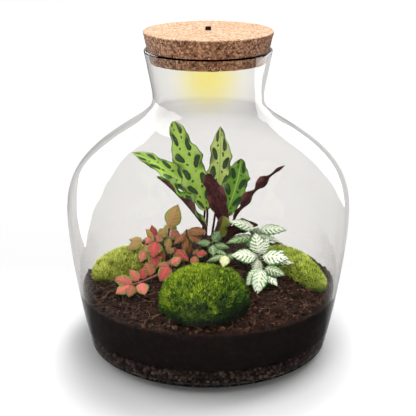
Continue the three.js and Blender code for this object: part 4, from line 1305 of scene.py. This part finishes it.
def fittonia_leaf(shape, line, leaf, toothed, number):
    """Adds one leaf to the shape of a plant whose stem is line."""
    at, heading, rise, length, width, kind = leaf
    around, up = math.radians(heading), math.radians(rise)
    direction = np.array([
        math.cos(up) * math.sin(around), -math.cos(up) * math.cos(around), math.sin(up),
    ])
    face = unit(LIGHT - direction * (LIGHT @ direction))
    root = along_line(line, [min(at, 0.97)])[0]
    tip = root + direction * length
    middle = (root + tip) / 2 + face * 0.1 * length
    teeth = max(4, round(length / 2.6))

    def outline(s, v):
        u = np.clip((s - STALK_END) / (1 - STALK_END), 0, 1)
        oval = (u / WIDEST) ** TO_WIDEST * ((1 - u) / (1 - WIDEST)) ** TO_TIP
        wave = 0.5 - 0.5 * np.cos(2 * np.pi * (s * teeth + 0.5 * (v > 0)))
        depth = 0.13 if toothed else 0.03
        return np.nan_to_num(oval) * (1 - depth * wave * smoothstep(0.3, 1, np.abs(v)))

    def surface(s, v, half):
        a = np.abs(v)
        cushions = np.sin(2 * np.pi * (s * FITTONIA_VEINS - a * FITTONIA_SLANT))
        quilt = cushions * np.sin(np.pi * np.clip(a, 0, 1))
        ruffle = np.sin(2 * np.pi * (s * teeth * 0.5) + number) * a**2
        body = smoothstep(STALK_END, STALK_END + 0.15, s)
        return body * (
            -0.22 * a * half + 0.28 * quilt + (0.55 if toothed else 0.3) * ruffle
        ) + (1 - body) * 0.25 * a**2

    points, faces, values = leaf_sheet(
        root, middle, tip, face, width, FITTONIA_THICKNESS, *FITTONIA_GRID, outline, surface,
    )
    ground, net, margin, spread = COLOURINGS[kind]
    vary = 1 + 0.16 * math.sin(number * 2.4)
    shape.add(
        points, faces, 0, ground=np.array(ground) * vary, net=np.array(net) * min(vary, 1.05),
        margin=np.array(margin), spread=spread, number=number, **values,
    )


def fittonia_shape(plant, toothed, seed):
    """Stem with its leaves."""
    shape = Shape()
    foot, path, leaves = plant
    line = planted_line(foot, path)
    for number, leaf in enumerate(leaves):
        fittonia_leaf(shape, line, leaf, toothed, seed * 11 + number)
    radii = np.linspace(1.35, 0.95, len(line))
    shape.add(*tube(line, radii, 10), 1)
    return shape


leaf_material = fittonia_material()
pink_stem = stem_material("fittonia_pink_stem", (0.17, 0.06, 0.045), (0.4, 0.17, 0.13))
green_stem = stem_material("fittonia_green_stem", (0.09, 0.14, 0.04), (0.3, 0.36, 0.16))
FITTONIAS = [
    ("red", RED_FITTONIAS, False, pink_stem), ("white", WHITE_FITTONIAS, True, green_stem),
    ("centre", CENTRE_FITTONIAS, True, green_stem),
]
for group, (colour, plants, toothed, stem_look) in enumerate(FITTONIAS):
    for number, plant in enumerate(plants, 1):
        make_piece(
            f"fittonia_{colour}_{number}", fittonia_shape(plant, toothed, 10 * group + number),
            [leaf_material, stem_look], [f"{colour}_fittonia_{number}"], f"{colour}_fittonia",
        )


# ---------------------------------------------------------------- floor, backdrop and light
FLOOR = 3200  # half its side, in millimetres
FLOOR_Z = -0.3
FLOOR_COLOUR = (0.6, 0.6, 0.6)
# Where the floor's own light starts and where it is full, in metres from the jar, and its strength.
FLOOR_GLOW_NEAR = (0.112, 0.168, 0.38)
FLOOR_GLOW_FAR = (0.21, 1.96, 0.42)
FLOOR_FRONT = (0.2, -0.03)  # y where the near light starts, and where it is full


def floor_material():
    """Pale floor, which mirrored rays pass, so that the glass mirrors the studio alone."""
    paint = Paint("floor")
    place = paint.node("TexCoord", output="Object")
    mottle = paint.noise(place, 0.4, 2.0)
    tint = paint.mix(mottle * 0.3, FLOOR_COLOUR, tuple(0.98 * c for c in FLOOR_COLOUR))
    wide = paint.node("VectorMath", {0: place, 1: (1.0, 0.7, 1.0)}, operation="MULTIPLY")
    distance = paint.node("VectorMath", {0: wide}, output=1, operation="LENGTH")
    before = paint.split(place)[1].step(*FLOOR_FRONT)
    own = distance.step(*FLOOR_GLOW_NEAR[:2]) * before * FLOOR_GLOW_NEAR[2]
    own = own + distance.step(*FLOOR_GLOW_FAR[:2]) * FLOOR_GLOW_FAR[2]
    shown = paint.node("BsdfPrincipled", {
        "Base Color": tint, "Roughness": 0.9, "Specular IOR Level": 0.0,
        "Emission Color": (1.0, 1.0, 1.0), "Emission Strength": own,
    })
    passed = paint.node("BsdfTransparent", {"Color": (1.0, 1.0, 1.0)})
    return paint.finish(paint.node("MixShader", {0: paint.mirrored(), 1: shown, 2: passed}))


floor_shape = Shape()
floor_corners = ((-FLOOR, -FLOOR), (FLOOR, -FLOOR), (FLOOR, FLOOR), (-FLOOR, FLOOR))
floor_shape.add([[*corner, FLOOR_Z] for corner in floor_corners], [np.array([[0, 1, 2, 3]])])
make_piece("floor", floor_shape, [floor_material()])


def area_light(name, place, target, size, brightness, colour=(1, 1, 1)):
    """Softbox at a place, turned to a target; brightness is its radiance."""
    light = bpy.data.lights.new(name, "AREA")
    light.shape = "RECTANGLE"
    light.size, light.size_y = size
    light.energy = brightness * math.pi * size[0] * size[1]
    light.color = colour
    lamp = linked(name, light)
    lamp.location = place
    lamp.rotation_euler = (Vector(target) - Vector(place)).to_track_quat("-Z", "Y").to_euler()
    hide(lamp, "camera", "glossy", "transmission")
    return lamp


area_light("left_softbox", (-2.0, 0.6, 1.8), (0, 0, 0.1), (2.0, 2.0), 1.5)
area_light("right_softbox", (0.85, 0.95, 2.75), (0, 0, 0.1), (1.2, 1.2), 13.0)
area_light("top_softbox", (0.0, -0.3, 3.0), (0, 0, 0), (1.6, 1.6), 5.5)
fill = area_light("front_softbox", (-0.6, -2.6, 2.8), (0, 0, 0.1), (2.0, 1.6), 7.0)
area_light("lamp_in_stopper", (0, 0, 0.2695), (0, 0, 0), (0.024, 0.018), 6.0, (1.0, 0.8, 0.36))

# The fill in front lights the part and leaves the floor to the other softboxes.
unlit = bpy.data.collections.new("not_lit_by_fill")
unlit.objects.link(bpy.data.objects["floor"])
fill.light_linking.receiver_collection = unlit
unlit.collection_objects[0].light_linking.link_state = "EXCLUDE"

GLOW_CENTRE = 257  # height of the middle of the lamp's glow
GLOW_REACH = 44
GLOW_TOP = CORK_BOTTOM_Z - 2.2  # cut off under the lamp


def glow_material():
    """Air lit yellow under the lamp, fading out all round."""
    paint = Paint("lamp_glow")
    from_centre = paint.node("VectorMath", {
        0: paint.vector(), 1: (0.0, 0.0, GLOW_CENTRE),
    }, operation="SUBTRACT")
    distance = paint.node("VectorMath", {0: from_centre}, output=1, operation="LENGTH")
    share = distance.step(GLOW_REACH, 2.0).math("POWER", 1.3)
    dimmed = paint.node("VolumeAbsorption", {"Color": (1.0, 0.93, 0.0), "Density": share * 28})
    lit = paint.node("Emission", {"Color": (1.0, 0.35, 0.0), "Strength": share * 1.5})
    return paint.finish(paint.node("AddShader", {0: dimmed, 1: lit}), "Volume")


turn = np.linspace(0, np.pi, 18)
glow_profile = np.stack([GLOW_REACH * np.sin(turn), GLOW_CENTRE - GLOW_REACH * np.cos(turn)], -1)
glow_profile[:, 1] = np.minimum(glow_profile[:, 1], GLOW_TOP)
glow_shape = Shape()
glow_shape.add(*lathe(glow_profile, 48))
glow = make_piece("lamp_glow", glow_shape, [glow_material()])
hide(glow, "diffuse", "glossy", "shadow")


# Bright cards and one dark flag of the studio, seen only as mirrored by the glass: their radiance
# and reach from the axis, then row by row the height, the bearing in degrees of both edges and,
# where it isn't the card's, the reach.
CARD_COLUMNS = 24
CARDS = {
    "left_card": (5.0, 350, [
        [5, -99, -101], [39, -94, -105], [63, -91, -106], [92, -88, -108], [134, -86, -111],
        [173, -85, -118], [189, -85, -127], [215, -85, -133], [249, -85, -137], [270, -86, -140],
        [290, -88, -143], [345, -95, -145], [391, -100, -145], [468, -117, -144],
        [500, -121, -142], [530, -123, -140], [562, -125, -136]]),
    "right_card": (3.6, 350, [
        [84, 119, 121], [106, 115, 121], [130, 112, 122], [152, 110, 124], [180, 110, 129],
        [202, 110, 136], [225, 111, 143], [249, 112, 149], [283, 114, 148], [300, 116, 147],
        [338, 121, 144], [400, 129, 140], [440, 133, 137]]),
    "left_tip_card": (5.0, 68, [
        [238.5, -47, -80], [241, -41, -82], [244, -37, -83], [250, -35, -83], [255, -42, -83],
        [260, -50, -82], [264, -57, -80], [267, -61, -75]]),
    "right_neck_card": (3.6, 62, [
        [224, 74, 84, 64.5], [230, 70, 92, 64], [236, 70, 93, 63], [241, 68, 88], [251, 61, 80],
        [263.5, 55, 69], [277, 52.6, 65, 63], [282, 50, 62, 64]]),
    "left_neck_flag": (0.1, 56, [
        [237, -20, -160, 55.5], [250, -20, -160], [260, -20, -160, 58], [283, -20, -160, 62]]),
}
for name, (strength, reach, bands) in CARDS.items():
    paint = Paint(name)
    card_look = paint.finish(paint.node("Emission", {"Color": (1, 1, 1), "Strength": strength}))
    rows = []
    for height, first, last, radius in spline([[*band, reach][:4] for band in bands], 6):
        bearings = np.radians(np.linspace(first, last, CARD_COLUMNS))
        rows.append(round_points(radius, height, bearings))
    card_shape = Shape()
    card_shape.add(np.array(rows), [grid_faces(len(rows), CARD_COLUMNS)])
    card = make_piece(name, card_shape, [card_look])
    hide(card, "camera", "diffuse", "shadow", "transmission")

# Brightness of the white studio for each kind of ray; the glass mirrors a dark front and, where
# it turns away from the viewer, the pale back.
SKY = {"Is Camera Ray": 1.0, "Is Transmission Ray": 1.0, "Is Diffuse Ray": 0.5}
MIRRORED_FRONT = 0.03
MIRRORED_BACK = 0.7
TURN_OF_MIRRORED = (0.25, 0.75)  # share of the direction that points away from the viewer
STEEP_OF_MIRRORED = (-0.51, -0.42)  # share that points up, below which the mirrored studio is dark
DARKEST_OF_MIRRORED = 0.1  # what that leaves of it


def studio_world():
    """World whose strength depends on the kind of ray."""
    sky = Paint("studio", bpy.data.worlds)
    _, away, up = sky.split(sky.node("TexCoord", output="Generated"))
    turned = sky.node("MapRange", {
        0: away, 1: TURN_OF_MIRRORED[0], 2: TURN_OF_MIRRORED[1],
        3: MIRRORED_FRONT, 4: MIRRORED_BACK,
    })
    steep = sky.node("MapRange", {
        0: up, 1: STEEP_OF_MIRRORED[0], 2: STEEP_OF_MIRRORED[1], 3: DARKEST_OF_MIRRORED, 4: 1.0,
    })
    level = as_mirrored = turned * steep
    for ray, strength in SKY.items():
        level = sky.blend(sky.ray(ray), level, strength)
    level = sky.blend(sky.mirrored(), level, as_mirrored)
    background = sky.node("Background", {"Color": (1.0, 1.0, 1.0), "Strength": level})
    return sky.finish(background, kind="World")


bpy.context.scene.world = studio_world()
bpy.context.scene.view_settings.view_transform = "Standard"
